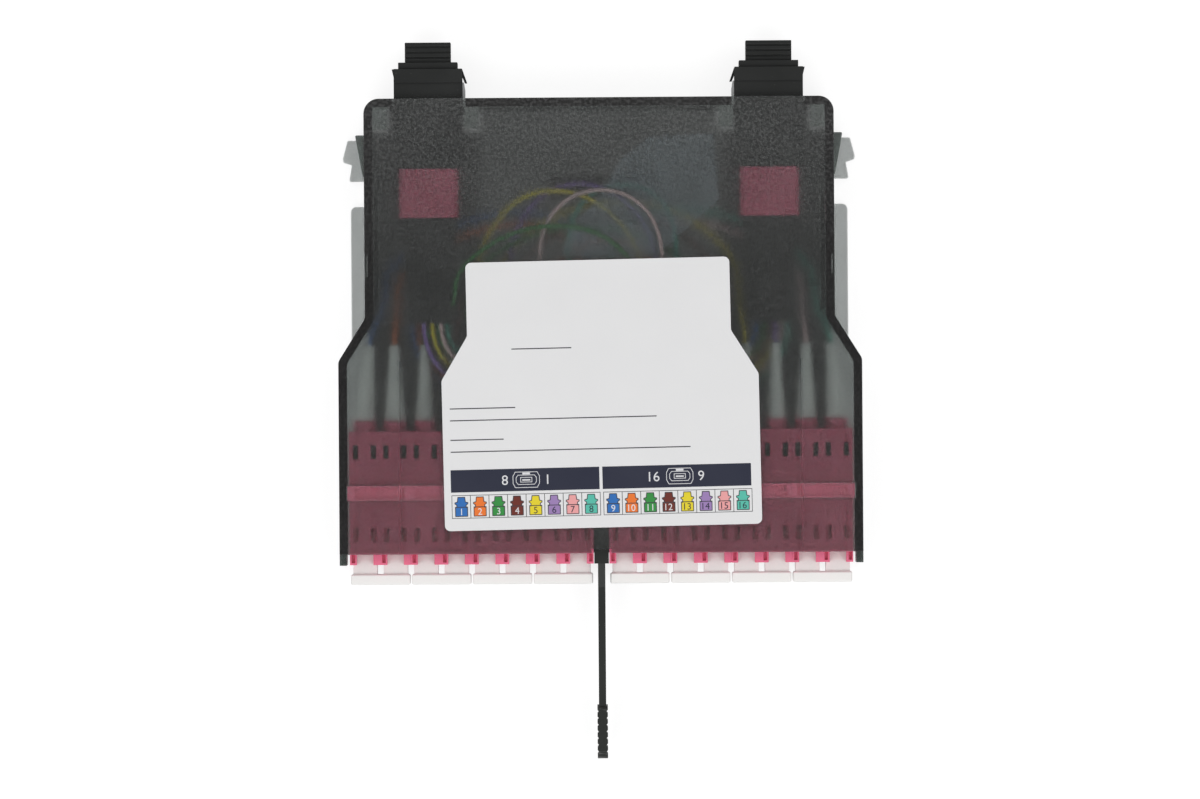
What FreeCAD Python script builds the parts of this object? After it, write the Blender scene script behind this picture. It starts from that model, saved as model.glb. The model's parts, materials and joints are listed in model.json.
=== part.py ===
import FreeCAD, Part
import math
import os

# Fibre cassette: sixteen LC ports at the front and two MPO ports at the rear of a smoked plastic housing.
# X runs across the front, Y from front to rear, Z up. The origin is the centre of the base's underside.
# All lengths are in millimetres.

Vector = FreeCAD.Vector

# ---- Housing -------------------------------------------------------------------------------------
FLOOR = 1.2                 # thickness of the base's floor
COVER = 1.2                 # thickness of the cover
WALL = 1.8                  # thickness of the base's walls
REAR_Y = 48.0               # outer face of the rear wall
FRONT_Y = -48.0             # front edge of floor and cover
SHOULDER_STEP = 5.65        # how much wider each side is at the front than at the rear
SHOULDER_REAR_Y = 1.7       # where the side walls start to spread
SHOULDER_FRONT_Y = -7.3     # where they have reached the front width
REAR_CORNER_R = 3.2
INNER_CORNER_R = 0.4        # smallest rounding of the walls' inner corners
SHOULDER_R = 2.0
CHEEK = 2.3                 # how far the side walls run on past the front edge
CHEEK_WALL = 1.5            # their thickness there
SEAT_GAP = 0.1              # clearance of a seated piece
LIP = 1.0                   # thickness of the cover's locating lip
LIP_DEPTH = 1.2
LIP_GAP = 0.15
LIP_START = 1.5             # from the shoulder to the side lips
LIP_END = 18.0              # from the rear wall to the side lips
LIP_MPO_GAP = 2.0           # from the MPO adapters to the rear lip
COVER_NOTCH = (4.2, 0.9)    # width and depth of the notch over the lever
COVER_LINE = (42.4, 0.4, 0.25)  # distance from the middle, width and depth of the cover's two long grooves

SNAP_Y = 12.65              # middle of each cover snap
SNAP_WIDTH = 4.3
SNAP_RECESS = 0.6           # depth of the wall's recess for the snap
SNAP_REACH = 6.0            # how far the snap hangs down
SNAP_BARB = 0.35
SNAP_BARB_HEIGHT = 1.5
SNAP_BARB_RAMP = 0.7
SNAP_GAP = 0.1

RAIL_REACH = 3.0            # how far the side rails stand out
RAIL_REAR_Y = 25.4
RAIL_FRONT_Y = -3.6
RAIL_THICK = 1.0
RAIL_CORNER_R = 1.2
# Corners of a latch hook and its finger rib: reach from the side wall, distance from the rear face, radius.
HOOK_CORNERS = ((3.3, 17.3, 0.4), (2.7, 13.8, 0.3), (4.5, 13.2, 0.4), (4.6, 12.4, 0.5), (3.6, 8.6, 0.4))
HOOK_RIB = ((0.3, 16.3, 0), (1.9, 7.6, 0.3))
HOOK_RIB_HEIGHT = 7.0

WINDOW = (3.0, 5.0)         # floor windows beside each MPO adapter
WINDOW_INBOARD = 2.0        # from the adapter's side to the inner window's middle
WINDOW_OUTBOARD = 1.6       # from the side wall to the outer window's middle
WINDOW_REAR_GAP = 4.2       # from the rear wall's outer face to the window's middle

# ---- LC adapters and what plugs into them --------------------------------------------------------
PORTS = 8                   # ports in one adapter block
PITCH = 6.42                # from port to port
LC_REAR_Y = -22.1           # rear end of the adapter blocks
LC_FRONT_Y = -50.2          # front end
LC_HEIGHT = 9.4
LC_TOP_GAP = 0.2            # clearance between the adapters and the cover
LC_AXIS_RISE = 4.3          # from the adapters' underside to the ports' axes
LC_FLANGE_Y = -35.1        # middle of the flange ring
LC_FLANGE_WIDTH = 3.2
LC_FLANGE_RISE = 0.45
LC_FLANGE_RIB = 2.3         # raised square between the panels in the flange's top
LC_FLANGE_RIM = 0.5         # rim in front of and behind such a panel
LC_FLANGE_SINK = 0.25       # depth of such a panel
LC_END_GAP = 0.34           # clearance at the blocks' outer ends
LC_BORE = (5.3, 5.2)        # width and height of the front bore
LC_REAR_BORE = 4.7          # width and height of the rear bore
LC_ROOF = 0.8               # skin over the latch channels
LC_CHANNEL = 3.5            # width of a latch channel
LC_TOOTH_LENGTH = 2.2       # how far the latch channels stay open at the front
LC_WEB = (-38.4, -33.6)     # the wall between front and rear bores
LC_SLIT = (1.1, 2.9)        # latch windows in the roof
LC_SLIT_OFFSET = 1.9        # from the port's axis to a slit's middle line
LC_SLIT_INSET = 4.3         # from the body's rear end to the rear slits' middle
LC_SLIT_LEAD = 4.1          # from the open channels to the front slits' middle
LC_SLIT_DEPTH = 0.5         # how far the slits cut below the roof
LC_PANEL_RIB = 2.2          # rib between the shallow panels
LC_PANEL_EDGE = 0.8         # rim in front of and behind a panel
LC_PANEL_DEPTH = 0.3
LC_POCKET = (0.75, 1.7, 0.8)  # the small pocket in each tooth
LC_POCKET_X = 0.75          # its middle, from the left edge of its port
LC_POCKET_LAST = 0.6        # the last one's middle, from the block's right end
LC_POCKET_Y = 1.3           # its middle, from the front end

CONNECTOR = 4.5             # width and height of an LC connector's body
CONNECTOR_TAIL = 2.3        # how far it stands out behind the adapter
CONNECTOR_CHAMFER = 0.5
CONNECTOR_GAP = 1.2         # from the wall between the bores to the connector's front
LATCH_WIDTH = 2.6
LATCH_THICK = 0.4
LATCH_ROOT = 1.0            # from the connector's front to the latch's root
LATCH_RISE = 5.0            # length of the latch's rising part
LATCH_GAP = 0.4             # clearance under the adapter's roof
LATCH_HEEL = 3.0            # length of the thick foot at the latch's root
BOOT_LENGTH = 15.8
BOOT_WIDE_R = 2.25
BOOT_THIN_R = 1.0
BOOT_SIDES = 12
BOOT_LEAN = 1.2             # how far the outermost boots' tips bend away from the shoulders

LC_CAP_PLUG = (5.1, 5.0)    # width and height of a dust cap's plug
LC_CAP_INSERT = 7.0         # length of plug inside the port
LC_CAP_STAND = 2.0          # length of plug between port and bar
LC_CAP_BAR = (12.5, 2.25, 6.4)  # width, thickness and height of the bar
LC_CAP_EDGE = 0.25          # chamfer round the bar
LC_CAP_TIP = 0.4            # chamfer at the plugs' tips

# ---- Pull lever ----------------------------------------------------------------------------------
LEVER_GAP = 3.3             # space between the adapter blocks
LEVER_CLEARANCE = 0.12
LEVER_RISE_GAP = 0.4        # clearance under and over the lever's block
LEVER_TRAVEL = 3.0
LEVER_HEAD = (4.2, 3.0)     # width and length of the stop at its inner end
LEVER_BLADE = 1.54
LEVER_BLADE_HEIGHT = 6.6
LEVER_GRIP = 2.2
LEVER_GRIP_HEIGHT = 8.2
LEVER_BLADE_LENGTH = 29.8
LEVER_GRIP_LENGTH = 11.3
LEVER_GRIP_R = 1.6          # rounding of the grip's ends, seen from the side
LEVER_TAPER = 5.0           # length over which the block narrows to the blade
LEVER_TEETH = 8
LEVER_TOOTH_DEPTH = 0.3
LEVER_NOTCH_SHARE = 0.35    # half a notch's width as a share of the teeth's spacing

# ---- MPO adapters and what plugs into them -------------------------------------------------------
MPO_INSET = 13.6            # from the rear part's side to the adapter's middle
MPO_WIDTH = 14.4
MPO_OUT = 6.25              # length outside the rear wall
MPO_IN = 14.7               # length inside, from the wall's outer face
MPO_NOTCH_GAP = 0.4         # clearance at its outboard side in the rear wall's notch
MPO_CLIP_GAP = 0.75         # the same at its inboard side, where the clip's leaf stands
MPO_BAND = (2.9, 0.5)       # length of the end band, and its rise over the body
MPO_BORE = (9.8, 6.8)
MPO_KEY = (3.2, 0.9)        # width and rise of the keyway over the bore
MPO_KEY_GAP = 0.2           # clearance at each side of the plug's key
MPO_KEY_LEAD = 1.0          # from the plug's end to its key
MPO_SHOULDER = (0.9, 1.4)   # reach and length of the side stops inside the wall
MPO_LUG = (0.45, 1.9)       # reach and length of the outboard lug
MPO_FINGER = (1.05, 3.0, 0.5)  # reach, length and thickness of the inboard latch finger
MPO_FINGER_HEIGHT = 4.0
MPO_CLIP = (0.5, 8.6)       # thickness and height of the retaining clip's leaf
MPO_CLIP_SET = 0.1          # from the adapter's side to the leaf
MPO_CLIP_TOP = 1.4          # from the adapter's outer end to the leaf
MPO_PLUG = (9.4, 6.4)
MPO_PLUG_INSERT = 7.6
MPO_SLEEVE = (12.4, 10.3)   # width and length of the connector's sliding sleeve
MPO_SLEEVE_DROP = 0.3       # how much lower it stands than the adapter, above and below
MPO_SLEEVE_EDGE = 0.8       # chamfer along the sleeve
MPO_SLEEVE_GAP = 0.1
MPO_BOOT_COLLAR = (11.2, 7.3, 3.2)
MPO_BOOT_ROOT = 10.8
MPO_BOOT_END = 9.2
MPO_BOOT_HEIGHT = 7.0
MPO_BOOT_LENGTH = 22.3
MPO_BOOT_TIP_R = 0.6        # rounding of the boot's thin end, seen from above

MPO_CAP_FLANGE = (12.5, 9.0, 1.36)
MPO_CAP_GRIP = (9.66, 7.2, 4.2)
MPO_CAP_INSERT = 7.0
MPO_CAP_GROOVE = (0.5, 0.35)
MPO_CAP_GROOVES = 3
MPO_CAP_GROOVE_LEAD = 0.3   # how far the row of grooves is set towards the grip's end

# ---- Fibres --------------------------------------------------------------------------------------
FIBRE = 0.8                 # side of the square that stands for a 0.9 mm tube
FIBRE_REACH = 0.45          # share of the shorter run that an arc takes
FIBRE_CHORD = 15.0          # degrees of arc that one chord stands for
LOOP_ROOM = 9.6             # inside height that the loops' levels are written for
FIBRE_LEAD = 2.4            # straight run into an LC boot
FIBRE_FIRST = 0.55          # share of the way to the front where a fibre starts to turn inwards
FIBRE_TAIL = 0.4            # share of the way back from the loop where it bends into its boot
PAD = (23.0, 5.2, 0.9)
PAD_X = 0.6
PAD_Y = 29.2

# ---- Label ---------------------------------------------------------------------------------------
LABEL_THICK = 0.15
LABEL_R = 1.2
LABEL_TURN = 1.0            # degrees, counterclockwise seen from above
LABEL_HEAD_HALF = 27.8      # half the width of its narrow rear part
LABEL_FOOT_HALF = 33.4      # half the width of its wide front part
LABEL_REAR_Y = 13.8
LABEL_NECK_Y = -1.7
LABEL_SHOULDER_Y = -10.9
LABEL_FRONT_Y = -42.6

# ---- Values that follow --------------------------------------------------------------------------
LC_BOTTOM = FLOOR
LC_TOP = LC_BOTTOM + LC_HEIGHT
WALL_TOP = LC_TOP + LC_TOP_GAP
HEIGHT = WALL_TOP + COVER
OUTERMOST = (1, 2 * PORTS)  # the two ports beside the shoulders
BLOCK_LENGTH = PORTS * PITCH
BLOCK_START = LEVER_GAP / 2
BLOCK_END = BLOCK_START + BLOCK_LENGTH
FRONT_HALF = BLOCK_END + LC_END_GAP + WALL
REAR_HALF = FRONT_HALF - SHOULDER_STEP
MPO_X = REAR_HALF - MPO_INSET
LC_AXIS = LC_BOTTOM + LC_AXIS_RISE
MPO_HEIGHT = LC_HEIGHT
LC_ROOF_BOTTOM = LC_TOP - LC_ROOF
MPO_AXIS = FLOOR + MPO_HEIGHT / 2
MPO_INNER_Y = REAR_Y - MPO_IN
MPO_OUTER_Y = REAR_Y + MPO_OUT
SLEEVE_FRONT_Y = MPO_INNER_Y - MPO_SLEEVE_GAP - MPO_SLEEVE[1]
MPO_BOOT_FRONT_Y = SLEEVE_FRONT_Y - MPO_BOOT_LENGTH
CONNECTOR_REAR_Y = LC_REAR_Y + CONNECTOR_TAIL
BOOT_REAR_Y = CONNECTOR_REAR_Y + BOOT_LENGTH


def box(x, y, z):
    """A box from its three (low, high) ranges."""
    return Part.makeBox(x[1] - x[0], y[1] - y[0], z[1] - z[0], Vector(x[0], y[0], z[0]))


def about(middle, size):
    """The (low, high) range of a size about its middle."""
    return (middle - size / 2, middle + size / 2)


def rounded_wire(corners):
    """A closed wire through (x, y, radius) corners, each rounded by a tangent arc of its radius."""
    count = len(corners)
    spots = [Vector(x, y, 0) for x, y, _ in corners]
    ends = []
    for i, (_, _, radius) in enumerate(corners):
        here = spots[i]
        back = (spots[i - 1] - here).normalize()
        ahead = (spots[(i + 1) % count] - here).normalize()
        if radius <= 0:
            ends.append((here, None, here))
            continue
        half = back.getAngle(ahead) / 2
        reach = radius / math.tan(half)
        inward = (back + ahead).normalize()
        crown = here + inward * (radius / math.sin(half) - radius)
        ends.append((here + back * reach, crown, here + ahead * reach))
    edges = []
    for i, (start, crown, end) in enumerate(ends):
        if crown is not None:
            edges.append(Part.Arc(start, crown, end).toShape())
        edges.append(Part.makeLine(end, ends[(i + 1) % count][0]))
    return Part.Wire(edges)


def plate(corners, z):
    """A plate with a rounded outline between two heights."""
    face = Part.Face(rounded_wire(corners))
    face.translate(Vector(0, 0, z[0]))
    return face.extrude(Vector(0, 0, z[1] - z[0]))


def side_profile(points, x):
    """A prism along X from (y, z) points."""
    loop = [Vector(x[0], y, z) for y, z in points]
    return Part.Face(Part.makePolygon(loop + loop[:1])).extrude(Vector(x[1] - x[0], 0, 0))


def mirrored(shape):
    """The shape's mirror image across the middle plane."""
    return shape.mirror(Vector(0, 0, 0), Vector(1, 0, 0))


def both_sides(shape):
    """The shape and its mirror image."""
    return [shape, mirrored(shape)]


def port_x(number):
    """The x of a port, counted from 1 at the left to 2 * PORTS at the right."""
    if number <= PORTS:
        return -(BLOCK_START + (PORTS - number + 0.5) * PITCH)
    return BLOCK_START + (number - PORTS - 0.5) * PITCH


def housing_outline(inset, front_y, rear_y):
    """The housing's outline in plan, moved inwards by inset, as rounded corners."""
    slope = math.atan2(FRONT_HALF - REAR_HALF, SHOULDER_REAR_Y - SHOULDER_FRONT_Y)
    shift = inset * math.tan(slope / 2)
    rear_r = max(REAR_CORNER_R - inset, INNER_CORNER_R)
    right = [
        (FRONT_HALF - inset, front_y, 0),
        (FRONT_HALF - inset, SHOULDER_FRONT_Y - shift, SHOULDER_R),
        (REAR_HALF - inset, SHOULDER_REAR_Y - shift, SHOULDER_R),
        (REAR_HALF - inset, rear_y, rear_r),
    ]
    return right + [(-x, y, r) for x, y, r in reversed(right)]


def flange_groove(z):
    """The two grooves across floor or cover that take the adapter blocks' flange rings."""
    y = about(LC_FLANGE_Y, LC_FLANGE_WIDTH + 2 * SEAT_GAP)
    x = (BLOCK_START - LC_FLANGE_RISE - SEAT_GAP, BLOCK_END + LC_FLANGE_RISE + SEAT_GAP)
    return both_sides(box(x, y, z))


def snap_recess():
    """The recess and barb pocket in the right wall for a cover snap."""
    y = about(SNAP_Y, SNAP_WIDTH)
    low = WALL_TOP - SNAP_REACH - SNAP_GAP
    recess = box((REAR_HALF - SNAP_RECESS, REAR_HALF + 1), y, (low, WALL_TOP))
    inner = REAR_HALF - SNAP_RECESS - SNAP_BARB - SNAP_GAP
    return recess.fuse(box((inner, REAR_HALF), y, (low, low + SNAP_BARB_HEIGHT + 2 * SNAP_GAP)))


def side_rail():
    """The flat rail along the right side, down to the shoulder."""
    inner = REAR_HALF - WALL / 2
    outer = REAR_HALF + RAIL_REACH
    corners = [
        (inner, RAIL_FRONT_Y, 0),
        (outer, RAIL_FRONT_Y, 0),
        (outer, RAIL_REAR_Y, RAIL_CORNER_R),
        (inner, RAIL_REAR_Y, 0),
    ]
    return plate(corners, (0, RAIL_THICK))


def latch_hook():
    """The hook behind the right rail: a ramp to the rear, a steep face to the front, a finger rib."""
    solids = []
    for corners, height in ((HOOK_CORNERS, RAIL_THICK), (HOOK_RIB, HOOK_RIB_HEIGHT)):
        outer = [(REAR_HALF + reach, REAR_Y - back, radius) for reach, back, radius in corners]
        root = REAR_HALF - WALL / 2
        outline = [(root, outer[0][1], 0)] + outer + [(root, outer[-1][1], 0)]
        solids.append(plate(outline, (0, height)))
    return solids[0].fuse(solids[1])


def mpo_notches(z):
    """The two cuts in the rear wall for the MPO adapters."""
    half = MPO_WIDTH / 2
    x = (MPO_X - half - MPO_CLIP_GAP, MPO_X + half + MPO_NOTCH_GAP)
    return both_sides(box(x, (REAR_Y - WALL - 1, REAR_Y + 1), z))


def floor_windows():
    """The open windows in the floor beside each MPO adapter."""
    y = about(REAR_Y - WINDOW_REAR_GAP, WINDOW[1])
    inboard = MPO_X - MPO_WIDTH / 2 - WINDOW_INBOARD
    outboard = REAR_HALF - WALL - WINDOW_OUTBOARD
    cuts = []
    for x in (inboard, outboard):
        cuts += both_sides(box(about(x, WINDOW[0]), y, (-1, FLOOR + 1)))
    return cuts


def make_base():
    """The tray: floor, walls, cheeks, rails and latch hooks in one moulding."""
    shell = plate(housing_outline(0, FRONT_Y, REAR_Y), (0, WALL_TOP))
    room = plate(housing_outline(WALL, FRONT_Y - 1, REAR_Y - WALL), (FLOOR, WALL_TOP + 1))
    shell = shell.cut(room)
    cheek = box((FRONT_HALF - CHEEK_WALL, FRONT_HALF), (FRONT_Y - CHEEK, FRONT_Y), (0, WALL_TOP))
    shell = shell.multiFuse(both_sides(cheek) + both_sides(side_rail()) + both_sides(latch_hook()))
    cuts = mpo_notches((FLOOR, WALL_TOP + 1)) + floor_windows()
    cuts += flange_groove((FLOOR - LC_FLANGE_RISE - SEAT_GAP / 2, WALL_TOP + 1))
    cuts += both_sides(snap_recess())
    return shell.cut(Part.makeCompound(cuts)).removeSplitter()


def cover_snap():
    """The right snap of the cover, which hangs in the wall's recess."""
    y = about(SNAP_Y, SNAP_WIDTH - 2 * SNAP_GAP)
    inner = REAR_HALF - SNAP_RECESS + SNAP_GAP
    low = WALL_TOP - SNAP_REACH
    arm = box((inner, REAR_HALF), y, (low, WALL_TOP + COVER / 2))
    tip = inner - SNAP_BARB
    high = low + SNAP_BARB_HEIGHT
    barb = [(inner, low), (tip, low + SNAP_BARB_RAMP), (tip, high), (inner, high)]
    loop = [Vector(px, y[0], pz) for px, pz in barb]
    wedge = Part.Face(Part.makePolygon(loop + loop[:1])).extrude(Vector(0, y[1] - y[0], 0))
    return arm.fuse(wedge)


def cover_lip():
    """The lip under the cover that locates it inside the walls."""
    z = (WALL_TOP - LIP_DEPTH, WALL_TOP)
    inner = REAR_HALF - WALL - LIP_GAP - LIP
    side = box((inner, inner + LIP), (SHOULDER_REAR_Y + LIP_START, REAR_Y - WALL - LIP_END), z)
    rear_half = MPO_X - MPO_WIDTH / 2 - LIP_MPO_GAP
    rear = box((-rear_half, rear_half), (REAR_Y - WALL - LIP_GAP - LIP, REAR_Y - WALL - LIP_GAP), z)
    return both_sides(side) + [rear]


def make_cover():
    """The flat cover with its lip, snaps, grooves and the notch over the lever."""
    lid = plate(housing_outline(0, FRONT_Y, REAR_Y), (WALL_TOP, HEIGHT))
    lid = lid.multiFuse(cover_lip() + both_sides(cover_snap()))
    cuts = flange_groove((WALL_TOP - 1, LC_TOP + LC_FLANGE_RISE + SEAT_GAP))
    width, depth = COVER_NOTCH
    cuts.append(box(about(0, width), (FRONT_Y - 1, FRONT_Y + depth), (WALL_TOP - 1, HEIGHT + 1)))
    line_x, line_width, line_depth = COVER_LINE
    line = box(about(line_x, line_width), (FRONT_Y - 1, SHOULDER_FRONT_Y), (HEIGHT - line_depth, HEIGHT + 1))
    cuts += both_sides(line)
    return lid.cut(Part.makeCompound(cuts)).removeSplitter()


def make_label():
    """The sticker on the cover: a narrow rear part, two shoulders and a wide front part."""
    right = [
        (LABEL_FOOT_HALF, LABEL_FRONT_Y, LABEL_R),
        (LABEL_FOOT_HALF, LABEL_SHOULDER_Y, LABEL_R),
        (LABEL_HEAD_HALF, LABEL_NECK_Y, LABEL_R),
        (LABEL_HEAD_HALF, LABEL_REAR_Y, LABEL_R),
    ]
    left = [(-x, y, r) for x, y, r in reversed(right)]
    sticker = plate(right + left, (HEIGHT, HEIGHT + LABEL_THICK))
    middle = Vector(0, (LABEL_REAR_Y + LABEL_FRONT_Y) / 2, 0)
    sticker.rotate(middle, Vector(0, 0, 1), LABEL_TURN)
    return sticker


def lc_port_cuts(x):
    """Everything cut out of an adapter body for the port at x."""
    bore_bottom = LC_AXIS - LC_BORE[1] / 2
    open_end = LC_FRONT_Y + LC_TOOTH_LENGTH
    cuts = [
        box(about(x, LC_BORE[0]), (LC_FRONT_Y - 1, LC_WEB[0]), (bore_bottom, bore_bottom + LC_BORE[1])),
        box(about(x, LC_CHANNEL), (LC_FRONT_Y - 1, LC_WEB[0]), (LC_AXIS, LC_ROOF_BOTTOM)),
        box(about(x, LC_CHANNEL), (LC_FRONT_Y - 1, open_end), (LC_AXIS, LC_TOP + 1)),
        box(about(x, LC_REAR_BORE), (LC_WEB[1], LC_REAR_Y + 1), about(LC_AXIS, LC_REAR_BORE)),
        box(about(x, LC_CHANNEL), (LC_WEB[1], LC_REAR_Y + 1), (LC_AXIS, LC_ROOF_BOTTOM)),
    ]
    for side in (-1, 1):
        slit_x = about(x + side * LC_SLIT_OFFSET, LC_SLIT[0])
        for middle in (LC_REAR_Y - LC_SLIT_INSET, open_end + LC_SLIT_LEAD):
            cuts.append(box(slit_x, about(middle, LC_SLIT[1]), (LC_ROOF_BOTTOM - LC_SLIT_DEPTH, LC_TOP + 1)))
    return cuts


def lc_panels(middle):
    """The shallow panels in the top of an adapter body: behind, in and before its flange."""
    x = about(middle, 2 * PITCH - LC_PANEL_RIB)
    z = (LC_TOP - LC_PANEL_DEPTH, LC_TOP + 1)
    flange = about(LC_FLANGE_Y, LC_FLANGE_WIDTH)
    front_edge = LC_FRONT_Y + LC_TOOTH_LENGTH + LC_PANEL_EDGE
    flange_top = LC_TOP + LC_FLANGE_RISE
    flange_panel = about(middle, 2 * PITCH - LC_FLANGE_RIB)
    flange_inner = (flange[0] + LC_FLANGE_RIM, flange[1] - LC_FLANGE_RIM)
    return [
        box(x, (flange[1] + LC_PANEL_EDGE, LC_REAR_Y - LC_PANEL_EDGE), z),
        box(x, (front_edge, flange[0] - LC_PANEL_EDGE), z),
        box(flange_panel, flange_inner, (flange_top - LC_FLANGE_SINK, flange_top + 1)),
    ]


def tooth_pockets(pair):
    """The small pockets near the right edge of an adapter body's teeth."""
    width, length, depth = LC_POCKET
    start = port_x(2 * pair + 1) - PITCH / 2
    middles = [start + LC_POCKET_X, start + PITCH + LC_POCKET_X]
    if pair % (PORTS // 2) == PORTS // 2 - 1:
        middles.append(start + 2 * PITCH - LC_POCKET_LAST)
    y = about(LC_FRONT_Y + LC_POCKET_Y, length)
    return [box(about(x, width), y, (LC_TOP - depth, LC_TOP + 1)) for x in middles]


def make_lc_adapter(pair):
    """One duplex LC adapter: a body with two ports and its share of the flange ring."""
    first = port_x(2 * pair + 1)
    second = port_x(2 * pair + 2)
    low = first - PITCH / 2
    high = second + PITCH / 2
    body = box((low, high), (LC_FRONT_Y, LC_REAR_Y), (LC_BOTTOM, LC_TOP))
    flange_low = low - LC_FLANGE_RISE if pair == 0 else low
    flange_high = high + LC_FLANGE_RISE if pair == PORTS - 1 else high
    z = (LC_BOTTOM - LC_FLANGE_RISE, LC_TOP + LC_FLANGE_RISE)
    flange = box((flange_low, flange_high), about(LC_FLANGE_Y, LC_FLANGE_WIDTH), z)
    cuts = lc_panels((low + high) / 2) + tooth_pockets(pair) + lc_port_cuts(first) + lc_port_cuts(second)
    return body.fuse(flange).cut(Part.makeCompound(cuts)).removeSplitter()


def make_lc_connector(x):
    """The body and latch of one LC connector, seated in the rear of its port."""
    front = LC_WEB[1] + CONNECTOR_GAP
    body = box(about(x, CONNECTOR), (front, CONNECTOR_REAR_Y), about(LC_AXIS, CONNECTOR))
    edges = [e for e in body.Edges if abs(e.Vertexes[0].Y - e.Vertexes[1].Y) > 1]
    body = body.makeChamfer(CONNECTOR_CHAMFER, edges)
    top = LC_AXIS + CONNECTOR / 2
    high = LC_ROOF_BOTTOM - LATCH_GAP
    root = front + LATCH_ROOT
    crest = root + LATCH_RISE
    tip = CONNECTOR_REAR_Y - LATCH_THICK
    arm = [
        (root, top - LATCH_THICK / 2),
        (root, top + LATCH_THICK / 2),
        (crest, high),
        (tip, high),
        (tip, high - 2 * LATCH_THICK),
        (crest, high - 2 * LATCH_THICK),
        (root + LATCH_HEEL, top - LATCH_THICK / 2),
    ]
    return body.fuse(side_profile(arm, about(x, LATCH_WIDTH))).removeSplitter()


def facet_ring(x, y, radius):
    """The corners of a regular polygon about a port's axis, facing along it."""
    corners = []
    for i in range(BOOT_SIDES):
        angle = 2 * math.pi * (i + 0.5) / BOOT_SIDES
        corners.append(Vector(x + radius * math.cos(angle), y, LC_AXIS + radius * math.sin(angle)))
    return corners


def skin(rings):
    """A solid from a row of rings with as many corners each, joined by flat faces."""
    faces = [Part.Face(Part.makePolygon(ring + ring[:1])) for ring in (rings[0], rings[-1])]
    for near, far in zip(rings, rings[1:]):
        for i in range(len(near)):
            j = (i + 1) % len(near)
            faces.append(Part.Face(Part.makePolygon([near[i], near[j], far[j], far[i], near[i]])))
    shell = Part.makeShell(faces)
    shell.sewShape()
    solid = Part.makeSolid(shell)
    if solid.Volume < 0:
        solid.reverse()
    return solid


def boot_tip_x(port):
    """The x of the thin end of a port's boot."""
    lean = math.copysign(BOOT_LEAN, port_x(port)) if port in OUTERMOST else 0
    return port_x(port) - lean


def make_boot(port):
    """The tapered boot behind one LC connector."""
    root = facet_ring(port_x(port), CONNECTOR_REAR_Y, BOOT_WIDE_R)
    return skin([root, facet_ring(boot_tip_x(port), BOOT_REAR_Y, BOOT_THIN_R)])


def make_lc_cap(pair):
    """A dust cap for two neighbouring ports: two plugs on one bar."""
    first = port_x(2 * pair + 1)
    second = port_x(2 * pair + 2)
    bar_width, bar_thick, bar_height = LC_CAP_BAR
    bar_rear = LC_FRONT_Y - LC_CAP_STAND
    bar_y = (bar_rear - bar_thick, bar_rear)
    bar = box(about((first + second) / 2, bar_width), bar_y, about(LC_AXIS, bar_height))
    bar = bar.makeChamfer(LC_CAP_EDGE, bar.Edges)
    plug_width, plug_height = LC_CAP_PLUG
    plug_y = (bar_rear - 2 * LC_CAP_EDGE, LC_FRONT_Y + LC_CAP_INSERT)
    plugs = []
    for x in (first, second):
        plug = box(about(x, plug_width), plug_y, about(LC_AXIS, plug_height))
        tip = [e for e in plug.Edges if min(v.Y for v in e.Vertexes) > LC_FRONT_Y]
        plugs.append(plug.makeChamfer(LC_CAP_TIP, tip))
    return bar.multiFuse(plugs).removeSplitter()


def make_lever():
    """The pull lever: a guided block with a stop head, a thin blade and a toothed grip."""
    half = LEVER_GAP / 2 - LEVER_CLEARANCE
    middle = (FLOOR + WALL_TOP) / 2
    z = (FLOOR + LEVER_RISE_GAP, WALL_TOP - LEVER_RISE_GAP)
    head_front = LC_REAR_Y + LEVER_TRAVEL + LEVER_CLEARANCE
    block = box((-half, half), (LC_FRONT_Y, head_front + LEVER_HEAD[1]), z)
    head = box(about(0, LEVER_HEAD[0]), (head_front, head_front + LEVER_HEAD[1]), z)
    blade_end = LC_FRONT_Y - LEVER_BLADE_LENGTH
    blade_half = LEVER_BLADE_HEIGHT / 2
    blade = [
        (LC_FRONT_Y + 1, z[0]),
        (LC_FRONT_Y, z[0]),
        (LC_FRONT_Y - LEVER_TAPER, middle - blade_half),
        (blade_end - 1, middle - blade_half),
        (blade_end - 1, middle + blade_half),
        (LC_FRONT_Y - LEVER_TAPER, middle + blade_half),
        (LC_FRONT_Y, z[1]),
        (LC_FRONT_Y + 1, z[1]),
    ]
    grip_end = blade_end - LEVER_GRIP_LENGTH
    grip = box(about(0, LEVER_GRIP), (grip_end, blade_end), about(middle, LEVER_GRIP_HEIGHT))
    ends = [e for e in grip.Edges if abs(e.Vertexes[0].X - e.Vertexes[1].X) > 1]
    grip = grip.makeFillet(LEVER_GRIP_R, ends)
    lever = block.multiFuse([head, side_profile(blade, about(0, LEVER_BLADE)), grip])
    return lever.cut(Part.makeCompound(grip_notches(grip_end, middle))).removeSplitter()


def grip_notches(grip_end, middle):
    """The notches across both faces of the lever's grip."""
    pitch = LEVER_GRIP_LENGTH / LEVER_TEETH
    half = LEVER_GRIP / 2
    cuts = []
    for i in range(LEVER_TEETH - 1):
        y = grip_end + (i + 1) * pitch
        low = middle - LEVER_GRIP_HEIGHT
        loop = [
            Vector(half - LEVER_TOOTH_DEPTH, y, low),
            Vector(half + LEVER_TOOTH_DEPTH / 3, y - pitch * LEVER_NOTCH_SHARE, low),
            Vector(half + LEVER_TOOTH_DEPTH / 3, y + pitch * LEVER_NOTCH_SHARE, low),
        ]
        notch = Part.Face(Part.makePolygon(loop + loop[:1])).extrude(Vector(0, 0, 2 * LEVER_GRIP_HEIGHT))
        cuts += both_sides(notch)
    return cuts


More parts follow.
